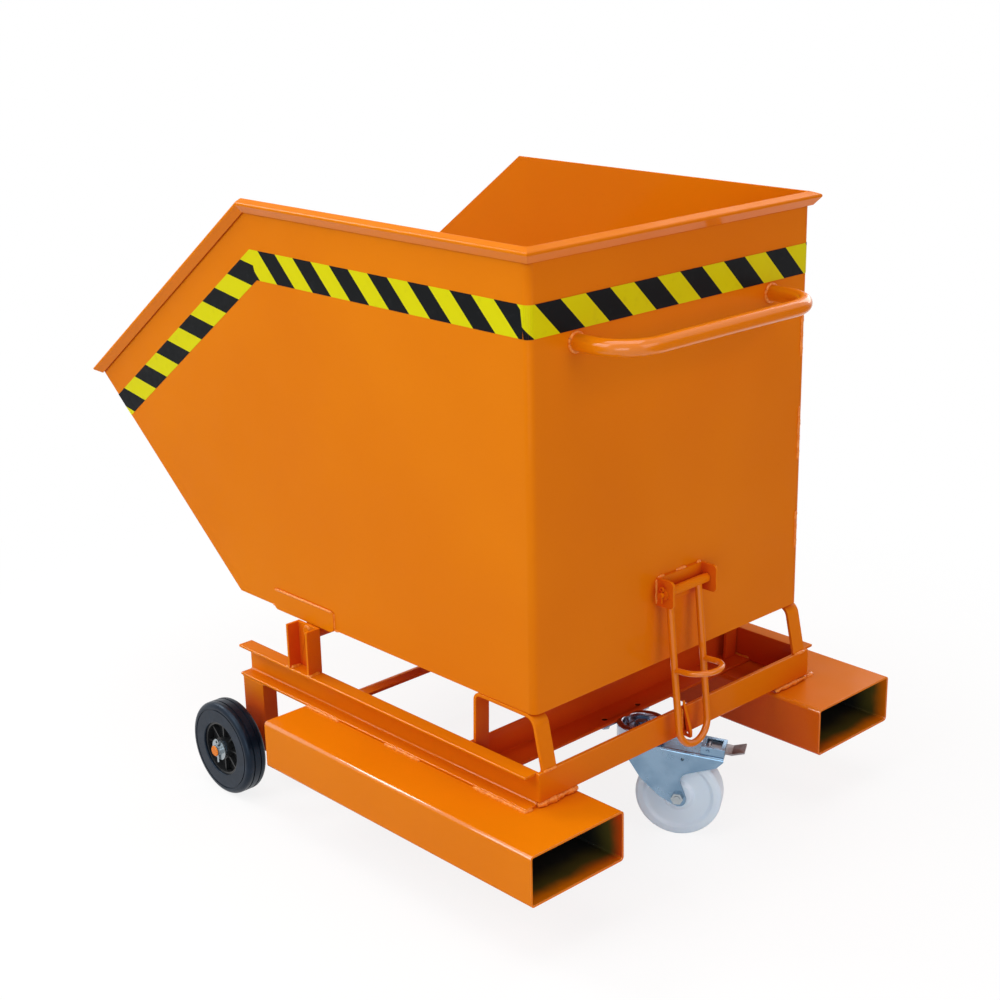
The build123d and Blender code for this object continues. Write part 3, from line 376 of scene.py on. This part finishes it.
def make_tape(name, plain, worn):
    """Self-adhesive film, a little uneven where it lies on the paint."""
    graph = Graph(name)
    scuff = graph.span(graph.noise(55, 4.0), 0.55, 0.85, 0.0, 0.6)
    graph.surface(
        Base_Color=graph.blend(scuff, plain, worn),
        Roughness=graph.span(graph.noise(90, 3.0), 0.25, 0.75, 0.34, 0.50),
        Normal=graph.bump(graph.noise(26, 2.0), 0.0012, 0.18),
        Specular_IOR_Level=0.06,
    )
    return graph.material


PAINT = make_paint("orange_powder_coat", None, SHEET_PAINTED_SHADE)
RIM_PAINT = make_paint("orange_rim_coat", RIM_GLOSS, SHEET_PAINTED_SHADE)
TUBE_PAINT = make_paint("orange_tube_coat", ROLLED_GLOSS, TUBE_PAINTED_SHADE)
FRAME_PAINT = make_frame_paint()
AXLE_PAINT = make_axle_paint()
POCKET_PAINT = make_pocket_paint()
WELD_PAINT = make_weld_paint()
ZINC = make_zinc()
BOLT = make_bolt()
SMOKED = make_dark_zinc()
CHROME = make_chrome()
NYLON = make_nylon()
RUBBER = make_tyre()
PLASTIC = make_black_plastic()
YELLOW = make_tape("tape_yellow", rgb(214, 208, 5), rgb(196, 188, 18))
BLACK = make_tape("tape_black", rgb(14, 16, 18), rgb(34, 36, 38))

BY_SLOT = {
    "orange_paint": PAINT,
    "zinc_steel": ZINC,
    "tyre_rubber": RUBBER,
    "black_plastic": PLASTIC,
    "white_nylon": NYLON,
}
BY_NODE = {
    "fork_pocket_left": POCKET_PAINT,
    "fork_pocket_right": POCKET_PAINT,
    "frame_channel_left": FRAME_PAINT,
    "frame_channel_right": FRAME_PAINT,
    "rear_cross_bar": FRAME_PAINT,
    "front_axle": AXLE_PAINT,
    "push_handle": TUBE_PAINT,
    "latch_bail": TUBE_PAINT,
    "pull_ring": TUBE_PAINT,
    "rim_left": RIM_PAINT,
    "rim_rear": RIM_PAINT,
    "rim_right": RIM_PAINT,
    "pivot_plate_left": TUBE_PAINT,
    "pivot_plate_right": TUBE_PAINT,
    "brake_pedal": SMOKED,
    "caster_head": CHROME,
    "swivel_bearing": CHROME,
    "caster_head_bolts": BOLT,
    "caster_wheel_bolt": BOLT,
    "caster_wheel_nut": BOLT,
    "axle_washers": BOLT,
    "axle_split_pins": BOLT,
}
for entry in frame["record"]["subparts"]:
    node = nodes[entry["node"]]
    node.data.materials.clear()
    node.data.materials.append(BY_NODE.get(entry["node"], BY_SLOT[entry["material_slot"]]))

JOIN_DISTANCE = 0.00002
EDGE_ANGLE = radians(38)


def soften(name, width):
    """Rounds a node's edges a little, as rolled and painted steel has them."""
    node = nodes[name]
    weld = node.modifiers.new("join", "WELD")
    weld.merge_threshold = JOIN_DISTANCE
    bevel = node.modifiers.new("edges", "BEVEL")
    bevel.width = width
    bevel.segments = 2
    bevel.limit_method = "ANGLE"
    bevel.angle_limit = EDGE_ANGLE
    bevel.harden_normals = True


for name, width in {
    "frame_channel": 0.0016,
    "pivot_upright": 0.0012,
    "front_post": 0.0015,
    "rest_loop": 0.0010,
    "pivot_plate": 0.0012,
}.items():
    soften(f"{name}_left", width)
    soften(f"{name}_right", width)
for name, width in {
    "rear_cross_bar": 0.0016,
    "cross_angle": 0.0012,
    "mid_cross_bar": 0.0010,
    "latch_bracket": 0.0012,
    "latch_catch": 0.0008,
    "left_rear_wall": 0.0007,
    "right_wall": 0.0007,
    "floor_front_sheet": 0.0007,
    "brake_housing": 0.0007,
    "brake_pedal": 0.0007,
    "caster_head": 0.0010,
    "fork_pocket_left": 0.0006,
    "fork_pocket_right": 0.0006,
}.items():
    soften(name, width)


def mesh_piece(name, vertices, faces, materials, body, indices=None, smooth=False):
    """New mesh that rides on a body."""
    mesh = bpy.data.meshes.new(name)
    mesh.from_pydata(vertices, [], faces)
    for material in materials:
        mesh.materials.append(material)
    if indices:
        mesh.polygons.foreach_set("material_index", indices)
    if smooth:
        mesh.polygons.foreach_set("use_smooth", [True] * len(faces))
    mesh.validate()
    mesh.update()
    piece = bpy.data.objects.new(name, mesh)
    bpy.context.scene.collection.objects.link(piece)
    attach(piece, body)
    return piece


# Hazard tape: film in 45 degree stripes, on the outside of the walls under the rim
TAPE_TOP = FLOOR + 0.6473
TAPE_WIDTH = 0.051
TAPE_LIFT = 0.0004
TAPE_GAP = 0.0001

# Where a stripe starts on each film's top edge, and how often the stripes come
SIDE_START, SIDE_PERIOD = 0.6533, 0.097
SLOPE_START, SLOPE_PERIOD = 0.0352, 0.1026
REAR_START, REAR_PERIOD = 0.0242, 0.1053

# Length of the sloped film before it is cut, how far it and the side film run past the knee, and the rear
# film's lap round the corner and the skew of its end
SLOPE_LENGTH = 0.66
SLOPE_SPARE = 0.03
SIDE_SPARE = 0.01
REAR_LAP = 0.016
REAR_SKEW = 0.12


def clip(polygon, normal, limit):
    """The part of a flat polygon on which normal . point stays under limit."""
    kept = []
    for here, there in zip(polygon, polygon[1:] + polygon[:1]):
        a = here[0] * normal[0] + here[1] * normal[1] - limit
        b = there[0] * normal[0] + there[1] * normal[1] - limit
        if a <= 0:
            kept.append(here)
        if (a < 0 < b) or (b < 0 < a):
            share = a / (a - b)
            kept.append(tuple(p + share * (q - p) for p, q in zip(here, there)))
    return kept


def tape(name, path, up, lean, start, period, cuts=(), lift=TAPE_LIFT):
    """Striped film along a path of outside points at its lower edge. In (length, height) along the film, each
    black stripe starts at start plus a whole number of periods on the top edge and leans back by lean."""
    vertices, faces, colours = [], [], []
    length = 0.0
    for first, last in zip(path, path[1:]):
        run = (last - first).length
        ahead = (last - first) / run
        out = ahead.cross(up).normalized() * lift
        strip = [(length, 0.0), (length + run, 0.0), (length + run, TAPE_WIDTH), (length, TAPE_WIDTH)]
        for normal, limit in cuts:
            strip = clip(strip, normal, limit)
        across = [u + lean * (TAPE_WIDTH - v) - start for u, v in strip]
        if not across:
            length += run
            continue
        for step in range(floor(min(across) / (period / 2)), ceil(max(across) / (period / 2))):
            low = start + step * period / 2
            band = clip(strip, (1.0, -lean), low + period / 2 - lean * TAPE_WIDTH)
            band = clip(band, (-1.0, lean), lean * TAPE_WIDTH - low)
            if len(band) < 3:
                continue
            base = len(vertices)
            vertices += [first + ahead * (u - length) + up * v + out for u, v in band]
            faces.append(list(range(base, len(vertices))))
            colours.append(step % 2)
        length += run
    piece = mesh_piece(name, vertices, faces, [BLACK, YELLOW], "box", colours)
    film = piece.modifiers.new("film", "SOLIDIFY")
    film.thickness = TAPE_LIFT - TAPE_GAP
    film.offset = -1.0
    return piece


UP = Vector((0, 0, 1))
BEND = 0.012
BEND_STEPS = 6

# Outline of the side wall: the knee and lip of its rim, and the toe where the sloped front leaves the floor
knee = Vector((REAR + 0.694, SIDE, TOP))
lip = Vector((REAR + 1.206, SIDE, FLOOR + 0.359))
toe = Vector((REAR + 0.774, SIDE, FLOOR))
slope = (lip - knee).normalized()
slope_up = Vector((-slope.z, 0, slope.x))
front = (lip - toe).normalized()
tape_low = TAPE_TOP - TAPE_WIDTH

# The films meet at a mitre under the knee
film_knee = REAR + 0.677
half_turn = atan2(-slope.z, slope.x) / 2
mitre_cos, mitre_sin = cos(half_turn), sin(half_turn)

for side, word in ((1, "left"), (-1, "right")):
    y = side * SIDE
    rear_end = Vector((REAR + BEND, y, tape_low))
    fore_end = Vector((film_knee + SIDE_SPARE, y, tape_low))
    reach = film_knee - rear_end.x
    start = SIDE_START - BEND
    if side > 0:
        whole = (fore_end - rear_end).length
        limit = -mitre_cos * (whole - reach) - mitre_sin * TAPE_WIDTH
        cuts = [((-mitre_cos, -mitre_sin), limit)]
        tape(f"tape_side_{word}", [fore_end, rear_end], UP, -1.0, whole - start, SIDE_PERIOD, cuts)
    else:
        cuts = [((mitre_cos, -mitre_sin), mitre_cos * reach - mitre_sin * TAPE_WIDTH)]
        tape(f"tape_side_{word}", [rear_end, fore_end], UP, 1.0, start - SIDE_PERIOD / 2, SIDE_PERIOD, cuts)
    outer_start = Vector((film_knee, y, TAPE_TOP))
    low_start = outer_start - slope_up * TAPE_WIDTH - slope * SLOPE_SPARE
    low_end = low_start + slope * SLOPE_LENGTH
    front_normal = (front.dot(slope_up), -front.dot(slope))
    at_lip = Vector((lip.x, 0, lip.z)) - Vector((low_start.x, 0, low_start.z))
    lip_limit = front_normal[0] * at_lip.dot(slope) + front_normal[1] * at_lip.dot(slope_up)
    knee_normal = (-mitre_cos, -mitre_sin)
    knee_limit = knee_normal[0] * SLOPE_SPARE + knee_normal[1] * TAPE_WIDTH
    start = SLOPE_SPARE + SLOPE_START
    if side > 0:
        whole = (low_end - low_start).length
        cuts = [
            ((-front_normal[0], front_normal[1]), lip_limit - front_normal[0] * whole),
            ((-knee_normal[0], knee_normal[1]), knee_limit - knee_normal[0] * whole),
        ]
        start = whole - start - SLOPE_PERIOD / 2
        tape(f"tape_slope_{word}", [low_end, low_start], slope_up, -1.0, start, SLOPE_PERIOD, cuts)
    else:
        cuts = [(front_normal, lip_limit), (knee_normal, knee_limit)]
        tape(f"tape_slope_{word}", [low_start, low_end], slope_up, 1.0, start, SLOPE_PERIOD, cuts)

# The rear film laps over the ends of the side films, and its near end is cut a little askew
turns = [step / BEND_STEPS * pi / 2 for step in range(BEND_STEPS + 1)]
bend_x = REAR + BEND
bend_y = SIDE - BEND
rear_path = [Vector((REAR + REAR_LAP, SIDE, tape_low))]
rear_path += [Vector((bend_x - BEND * sin(turn), bend_y + BEND * cos(turn), tape_low)) for turn in turns]
rear_path += [Vector((bend_x - BEND * cos(turn), -bend_y - BEND * sin(turn), tape_low)) for turn in turns]
rear_path.append(Vector((REAR + REAR_LAP, -SIDE, tape_low)))
skewed = [((-1.0, -REAR_SKEW), -REAR_SKEW * TAPE_WIDTH)]
tape("tape_rear", rear_path, UP, -1.0, REAR_START, REAR_PERIOD, skewed, 2 * TAPE_LIFT)


# Weld beads: length of a ripple, corners of the section, and shares of the girth towards each end
RIPPLE = 0.007
BEAD_SIDES = 10
BEAD_ENDS = (0.35, 0.78, 0.94)


def bead(vertices, faces, path, radius, uneven):
    """Adds a closed bead along straight runs between the path's points. It swells at each ripple of the weld
    pool and wanders a little from the path."""
    places = []
    for first, last in zip(path, path[1:]):
        steps = max(3, round((last - first).length / (RIPPLE / 4)))
        places += [first.lerp(last, step / steps) for step in range(steps)]
    places.append(path[-1])
    base = len(vertices)
    for count, place in enumerate(places):
        ahead = (places[min(count + 1, len(places) - 1)] - places[max(count - 1, 0)]).normalized()
        across = ahead.orthogonal().normalized()
        if abs(ahead.z) < 0.9:
            across = ahead.cross(UP).normalized()
        lift = ahead.cross(across)
        turn = count * pi / 2
        phase = 40 * (path[0].x + path[0].y)
        swell = 0.09 * cos(turn) + 0.13 * sin(0.31 * turn + phase) + 0.10 * sin(0.13 * turn + 2 * phase)
        girth = 1.0 + uneven * swell
        nearest = min(count, len(places) - 1 - count)
        if nearest < len(BEAD_ENDS):
            girth *= BEAD_ENDS[nearest]
        middle = place + across * radius * 0.16 * uneven * sin(0.23 * turn + phase)
        for side in range(BEAD_SIDES):
            around = 2 * pi * side / BEAD_SIDES
            vertices.append(middle + (across * cos(around) + lift * sin(around)) * radius * girth)
    for count in range(len(places) - 1):
        row = base + count * BEAD_SIDES
        for side in range(BEAD_SIDES):
            a = row + side
            b = row + (side + 1) % BEAD_SIDES
            faces.append([a, b, b + BEAD_SIDES, a + BEAD_SIDES])
    faces.append(list(range(base + BEAD_SIDES - 1, base - 1, -1)))
    end = base + (len(places) - 1) * BEAD_SIDES
    faces.append(list(range(end, end + BEAD_SIDES)))


def beads(name, body, runs):
    """One piece with all the beads of a body; each run is a radius, an unevenness and the path's points."""
    vertices, faces = [], []
    for radius, uneven, *path in runs:
        bead(vertices, faces, path, radius, uneven)
    return mesh_piece(name, vertices, faces, [WELD_PAINT], body, smooth=True)


def at(x, y, z):
    """Point with X counted forward from the rear wall."""
    return Vector((REAR + x, y, z))


upright_low, upright_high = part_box("pivot_upright_left")
post_low, post_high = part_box("front_post_left")
bar_low, bar_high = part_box("rear_cross_bar")
angle_low, angle_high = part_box("cross_angle")
mid_low, mid_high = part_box("mid_cross_bar")
loop_low, loop_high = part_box("rest_loop_left")
catch_low, catch_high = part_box("latch_catch")
bracket_low, bracket_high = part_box("latch_bracket")
grip_low, grip_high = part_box("push_handle")
plate_low, plate_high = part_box("pivot_plate_left")

channel_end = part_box("frame_channel_left")[0].x
shaft_low, shaft_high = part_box("pivot_shaft")
shaft_middle = (shaft_low + shaft_high) / 2
shaft_radius = (shaft_high.z - shaft_low.z) / 2

RING_STEPS = 24


def ring(middle, radius, axis):
    """Points of a full circle about a level axis, "x" or "y"."""
    points = []
    for step in range(RING_STEPS + 1):
        turn = 2 * pi * step / RING_STEPS
        along = radius * cos(turn)
        x, y = (along, 0) if axis == "y" else (0, along)
        points.append(middle + Vector((x, y, radius * sin(turn))))
    return points


# Each kind of bead: its radius in metres, and how uneven it is
FLANGE_BEAD = (0.0040, 0.6)
WEB_BEAD = (0.0032, 0.6)
CORNER_BEAD = (0.0042, 0.7)
UPRIGHT_BEAD = (0.0040, 1.0)
UPRIGHT_EDGE_BEAD = (0.0036, 1.0)
POST_BEAD = (0.0030, 0.8)
LOOP_BEAD = (0.0026, 0.8)
CROSS_BEAD = (0.0028, 0.8)
CATCH_BEAD = (0.0024, 0.8)
SHAFT_BEAD = (0.0030, 1.0)
SEAM_BEAD = (0.0030, 0.6)
EAR_BEAD = (0.0026, 0.8)
PLATE_END_BEAD = (0.0018, 0.6)
PLATE_FOOT_BEAD = (0.0024, 0.6)
PLATE_TOP_BEAD = (0.0024, 0.1)
RIM_BEAD = (0.0017, 0.4)
STRAP_BEAD = (0.0034, 1.0)

# Where stitches start and end: forward from the rear wall, inward along the rear bar with their radii, up the
# rear seam of the box, and as shares of the latch bracket's width
STITCHES = ((0.545, 0.452), (0.330, 0.238))
CORNER_STITCH = 0.108
CORNER_WRAP = 0.016
BAR_STITCHES = ((0.0, 0.020, 0.0050), (0.014, 0.054, 0.0058), (0.046, 0.088, 0.0052))
FAR_BAR_SHARE = 0.8
SEAM_STITCHES = ((0.617, 0.712), (0.454, 0.523), (0.800, 0.880))
STRAP_STITCHES = ((0.02, 0.16), (0.42, 0.64), (0.88, 0.98))

# Wall of the upright, and how far beads keep back from the ends of what they join
UPRIGHT_WALL = 0.005
INSET = 0.002
SEAM_INSET = 0.013

chassis_runs = []
for side in (1, -1):
    flange, web = side * FLANGE, side * WEB
    for start, end in STITCHES:
        chassis_runs.append((*FLANGE_BEAD, at(start, flange, DECK), at(end, flange, DECK)))
        chassis_runs.append((*WEB_BEAD, at(start, web, DECK), at(end, web, DECK)))
    corner = Vector((channel_end, flange, DECK))
    wrapped = corner - Vector((0, side * CORNER_WRAP, 0))
    chassis_runs.append((*CORNER_BEAD, at(CORNER_STITCH, flange, DECK), corner, wrapped))
    for far, near, radius in BAR_STITCHES:
        first = Vector((bar_low.x + 0.003, side * (bar_high.y - far), (DECK + bar_low.z) / 2))
        last = first - Vector((0, side * (near - far), 0))
        chassis_runs.append((radius if side > 0 else FAR_BAR_SHARE * radius, 1.0, first, last))
    deep, edge = side * (WEB + 0.006), side * (upright_high.y - INSET)
    for x, inward, post_x in ((upright_low.x, 1, post_low.x), (upright_high.x, -1, post_high.x)):
        inner = x + inward * UPRIGHT_WALL
        for bead_kind, bead_x in ((UPRIGHT_BEAD, inner), (UPRIGHT_EDGE_BEAD, x)):
            first = Vector((bead_x, deep, CHANNEL_TOP))
            chassis_runs.append((*bead_kind, first, Vector((bead_x, edge, CHANNEL_TOP))))
        first = Vector((x - INSET, edge, CHANNEL_TOP))
        chassis_runs.append((*UPRIGHT_EDGE_BEAD, first, Vector((x + 0.007, edge, CHANNEL_TOP))))
        first = Vector((post_x, web + side * INSET, DECK))
        chassis_runs.append((*POST_BEAD, first, Vector((post_x, side * post_high.y, DECK))))
    first = Vector((post_low.x + INSET, web, DECK))
    chassis_runs.append((*POST_BEAD, first, Vector((post_high.x - INSET, web, DECK))))
    bar_middle = (bar_low.x + bar_high.x) / 2
    for x in (bar_middle - 0.0035, bar_middle + 0.0035):
        first = Vector((x, side * (loop_low.y + 0.001), CHANNEL_TOP))
        chassis_runs.append((*LOOP_BEAD, first, Vector((x, side * (loop_high.y - 0.001), CHANNEL_TOP))))
    for low, high, z in ((angle_low, angle_high, angle_low.z + 0.005), (mid_low, mid_high, mid_high.z)):
        first = Vector((low.x + 0.003, web, z))
        chassis_runs.append((*CROSS_BEAD, first, Vector((high.x - 0.006, web, z))))
    catch_y = side * catch_high.y
    first = Vector((catch_high.x, catch_y, catch_low.z + INSET))
    chassis_runs.append((*CATCH_BEAD, first, Vector((catch_high.x, catch_y, bar_high.z - INSET))))
    shaft_end = Vector((shaft_middle.x, side * (shaft_high.y - 0.003), shaft_middle.z))
    chassis_runs.append((*SHAFT_BEAD, *ring(shaft_end, shaft_radius, "y")))
beads("weld_beads_chassis", "chassis", chassis_runs)

box_runs = []
seam_y = -SIDE + SEAM_INSET
for low, high in SEAM_STITCHES:
    box_runs.append((*SEAM_BEAD, at(0, seam_y, low), at(0, seam_y, high)))
grip_z = (grip_low.z + grip_high.z) / 2
grip_radius = (grip_high.z - grip_low.z) / 2
for side in (1, -1):
    foot = at(0, side * (grip_high.y - grip_radius), grip_z)
    box_runs.append((*SEAM_BEAD, *ring(foot, grip_radius + 0.001, "x")))
    ear_y = bracket_high.y if side > 0 else bracket_low.y
    first = at(0, ear_y, bracket_low.z + INSET)
    box_runs.append((*EAR_BEAD, first, at(0, ear_y, bracket_high.z - INSET)))
    wall = side * SIDE
    for x, inward in ((plate_low.x, 1), (plate_high.x, -1)):
        first = Vector((x, wall, plate_low.z + 0.004))
        box_runs.append((*PLATE_END_BEAD, first, Vector((x, wall, plate_high.z - 0.001))))
        foot = Vector((x, wall - side * 0.001, FLOOR + 0.0005))
        first = foot - Vector((inward * 0.010, 0, 0))
        box_runs.append((*PLATE_FOOT_BEAD, first, foot + Vector((inward * 0.012, 0, 0))))
    seam = side * (SIDE + 0.0015)
    first = Vector((plate_low.x + 0.003, seam, plate_high.z))
    box_runs.append((*PLATE_TOP_BEAD, first, Vector((plate_high.x - 0.003, seam, plate_high.z))))
    first = at(0.006, side * (SIDE - 0.001), TOP - INSET)
    box_runs.append((*RIM_BEAD, first, at(0.001, side * (SIDE - 0.006), TOP - INSET)))
strap = bracket_low.y - bracket_high.y
for start, end in STRAP_STITCHES:
    first = at(0, bracket_high.y + start * strap, bracket_high.z)
    box_runs.append((*STRAP_BEAD, first, at(0, bracket_high.y + end * strap, bracket_high.z)))
beads("weld_beads_box", "box", box_runs)


# Stage: pale floor that fades into a white background, and soft lamps all round, strongest left and above
FLOOR_LIGHT = (0.72, 0.72, 0.72, 1)
FLOOR_SEEN = (0.95, 0.95, 0.95, 1)
FADE_NEAR, FADE_FAR = 0.7, 1.7
NEAR_WHITE = 0.85
AMBIENT = 0.14
REACH = 30


def shows_background(tree):
    """1 for rays that see the background, straight, mirrored or through a piece, and 0 for its light."""
    path = tree.nodes.new("ShaderNodeLightPath")
    value = path.outputs["Is Camera Ray"]
    for ray in ("Is Glossy Ray", "Is Transmission Ray"):
        either = tree.nodes.new("ShaderNodeMath")
        either.operation = "MAXIMUM"
        tree.links.new(value, either.inputs[0])
        tree.links.new(path.outputs[ray], either.inputs[1])
        value = either.outputs["Value"]
    return value


floor_corners = [(-REACH, -REACH, 0), (REACH, -REACH, 0), (REACH, REACH, 0), (-REACH, REACH, 0)]
floor_mesh = bpy.data.meshes.new("stage_floor")
floor_mesh.from_pydata(floor_corners, [], [(0, 1, 2, 3)])
stage_floor = bpy.data.objects.new("stage_floor", floor_mesh)
bpy.context.scene.collection.objects.link(stage_floor)

floor_material = bpy.data.materials.new("stage_floor")
floor_material.use_nodes = True
tree = floor_material.node_tree
tree.nodes.clear()
output = tree.nodes.new("ShaderNodeOutputMaterial")
matt = tree.nodes.new("ShaderNodeBsdfDiffuse")
glow = tree.nodes.new("ShaderNodeEmission")
glow.inputs["Color"].default_value = (1, 1, 1, 1)
seen = shows_background(tree)
tint = tree.nodes.new("ShaderNodeMix")
tint.data_type = "RGBA"
tint.inputs[6].default_value = FLOOR_LIGHT
tint.inputs[7].default_value = FLOOR_SEEN
tree.links.new(seen, tint.inputs[0])
tree.links.new(tint.outputs[2], matt.inputs["Color"])
place = tree.nodes.new("ShaderNodeTexCoord")
away = tree.nodes.new("ShaderNodeVectorMath")
away.operation = "LENGTH"
tree.links.new(place.outputs["Object"], away.inputs[0])
fade = tree.nodes.new("ShaderNodeMapRange")
fade.interpolation_type = "SMOOTHSTEP"
tree.links.new(away.outputs["Value"], fade.inputs["Value"])
# The floor keeps a faint shadow near the trolley, and is plain white further out
fade_ends = {"From Min": FADE_NEAR, "From Max": FADE_FAR, "To Min": NEAR_WHITE, "To Max": 1.0}
for name, number in fade_ends.items():
    fade.inputs[name].default_value = number
share = tree.nodes.new("ShaderNodeMath")
share.operation = "MULTIPLY"
tree.links.new(seen, share.inputs[0])
tree.links.new(fade.outputs["Result"], share.inputs[1])
mix = tree.nodes.new("ShaderNodeMixShader")
tree.links.new(share.outputs["Value"], mix.inputs[0])
tree.links.new(matt.outputs[0], mix.inputs[1])
tree.links.new(glow.outputs[0], mix.inputs[2])
tree.links.new(mix.outputs[0], output.inputs["Surface"])
floor_mesh.materials.append(floor_material)

world = bpy.data.worlds.new("studio")
bpy.context.scene.world = world
world.use_nodes = True
tree = world.node_tree
tree.nodes.clear()
output = tree.nodes.new("ShaderNodeOutputWorld")
ambient = tree.nodes.new("ShaderNodeBackground")
ambient.inputs["Color"].default_value = (0.96, 0.98, 1.0, 1)
ambient.inputs["Strength"].default_value = AMBIENT
white = tree.nodes.new("ShaderNodeBackground")
white.inputs["Color"].default_value = (1, 1, 1, 1)
mix = tree.nodes.new("ShaderNodeMixShader")
tree.links.new(shows_background(tree), mix.inputs[0])
tree.links.new(ambient.outputs[0], mix.inputs[1])
tree.links.new(white.outputs[0], mix.inputs[2])
tree.links.new(mix.outputs[0], output.inputs["Surface"])


def lamp(name, place, target, size, power, colour=(1, 1, 1)):
    """Square area lamp that faces a target."""
    light = bpy.data.lights.new(name, "AREA")
    light.size = size
    light.energy = power
    light.color = colour
    item = bpy.data.objects.new(name, light)
    item.location = place
    item.rotation_euler = (Vector(target) - Vector(place)).to_track_quat("-Z", "Y").to_euler()
    bpy.context.scene.collection.objects.link(item)


lamp("key", (0.4, 4.2, 3.6), (0, 0, 0.5), 3.0, 108)
lamp("top", (-0.4, 0.3, 5.0), (0, 0, 0.4), 3.5, 104)
lamp("front", (3.6, 1.7, 3.7), (0, 0, 0.4), 2.0, 96)
lamp("right", (0.6, -4.4, 2.6), (0, 0, 0.5), 3.0, 84)
lamp("rear_fill", (-4.6, -0.6, 2.6), (0, 0, 0.6), 3.0, 64, (1.0, 0.72, 0.68))
lamp("low_left", (-2.6, 2.8, 0.9), (-0.5, 0, 0.15), 1.6, 26, (0.86, 0.94, 1.0))

# Camera at the photo's viewing angle
SENSOR_WIDTH = 36
FOCAL_LENGTH = 64.17
EYE_PLACE = at(-1.8030, 2.0739, 1.5458)
camera = bpy.data.cameras.new("camera")
camera.sensor_width = SENSOR_WIDTH
camera.lens = FOCAL_LENGTH
camera.clip_end = 100
eye = bpy.data.objects.new("camera", camera)
bpy.context.scene.collection.objects.link(eye)
yaw, pitch, roll = radians(-43.02), radians(18.59), radians(-1.27)
look = Vector((cos(pitch) * cos(yaw), cos(pitch) * sin(yaw), -sin(pitch)))
right = look.cross(UP).normalized()
over = right.cross(look)
tilted_right = right * cos(roll) + over * sin(roll)
tilted_up = over * cos(roll) - right * sin(roll)
turned = Matrix((tilted_right, tilted_up, -look)).transposed()
eye.matrix_world = Matrix.Translation(EYE_PLACE) @ turned.to_4x4()
bpy.context.scene.camera = eye

bpy.context.scene.view_settings.view_transform = "Standard"

bpy.context.view_layer.update()
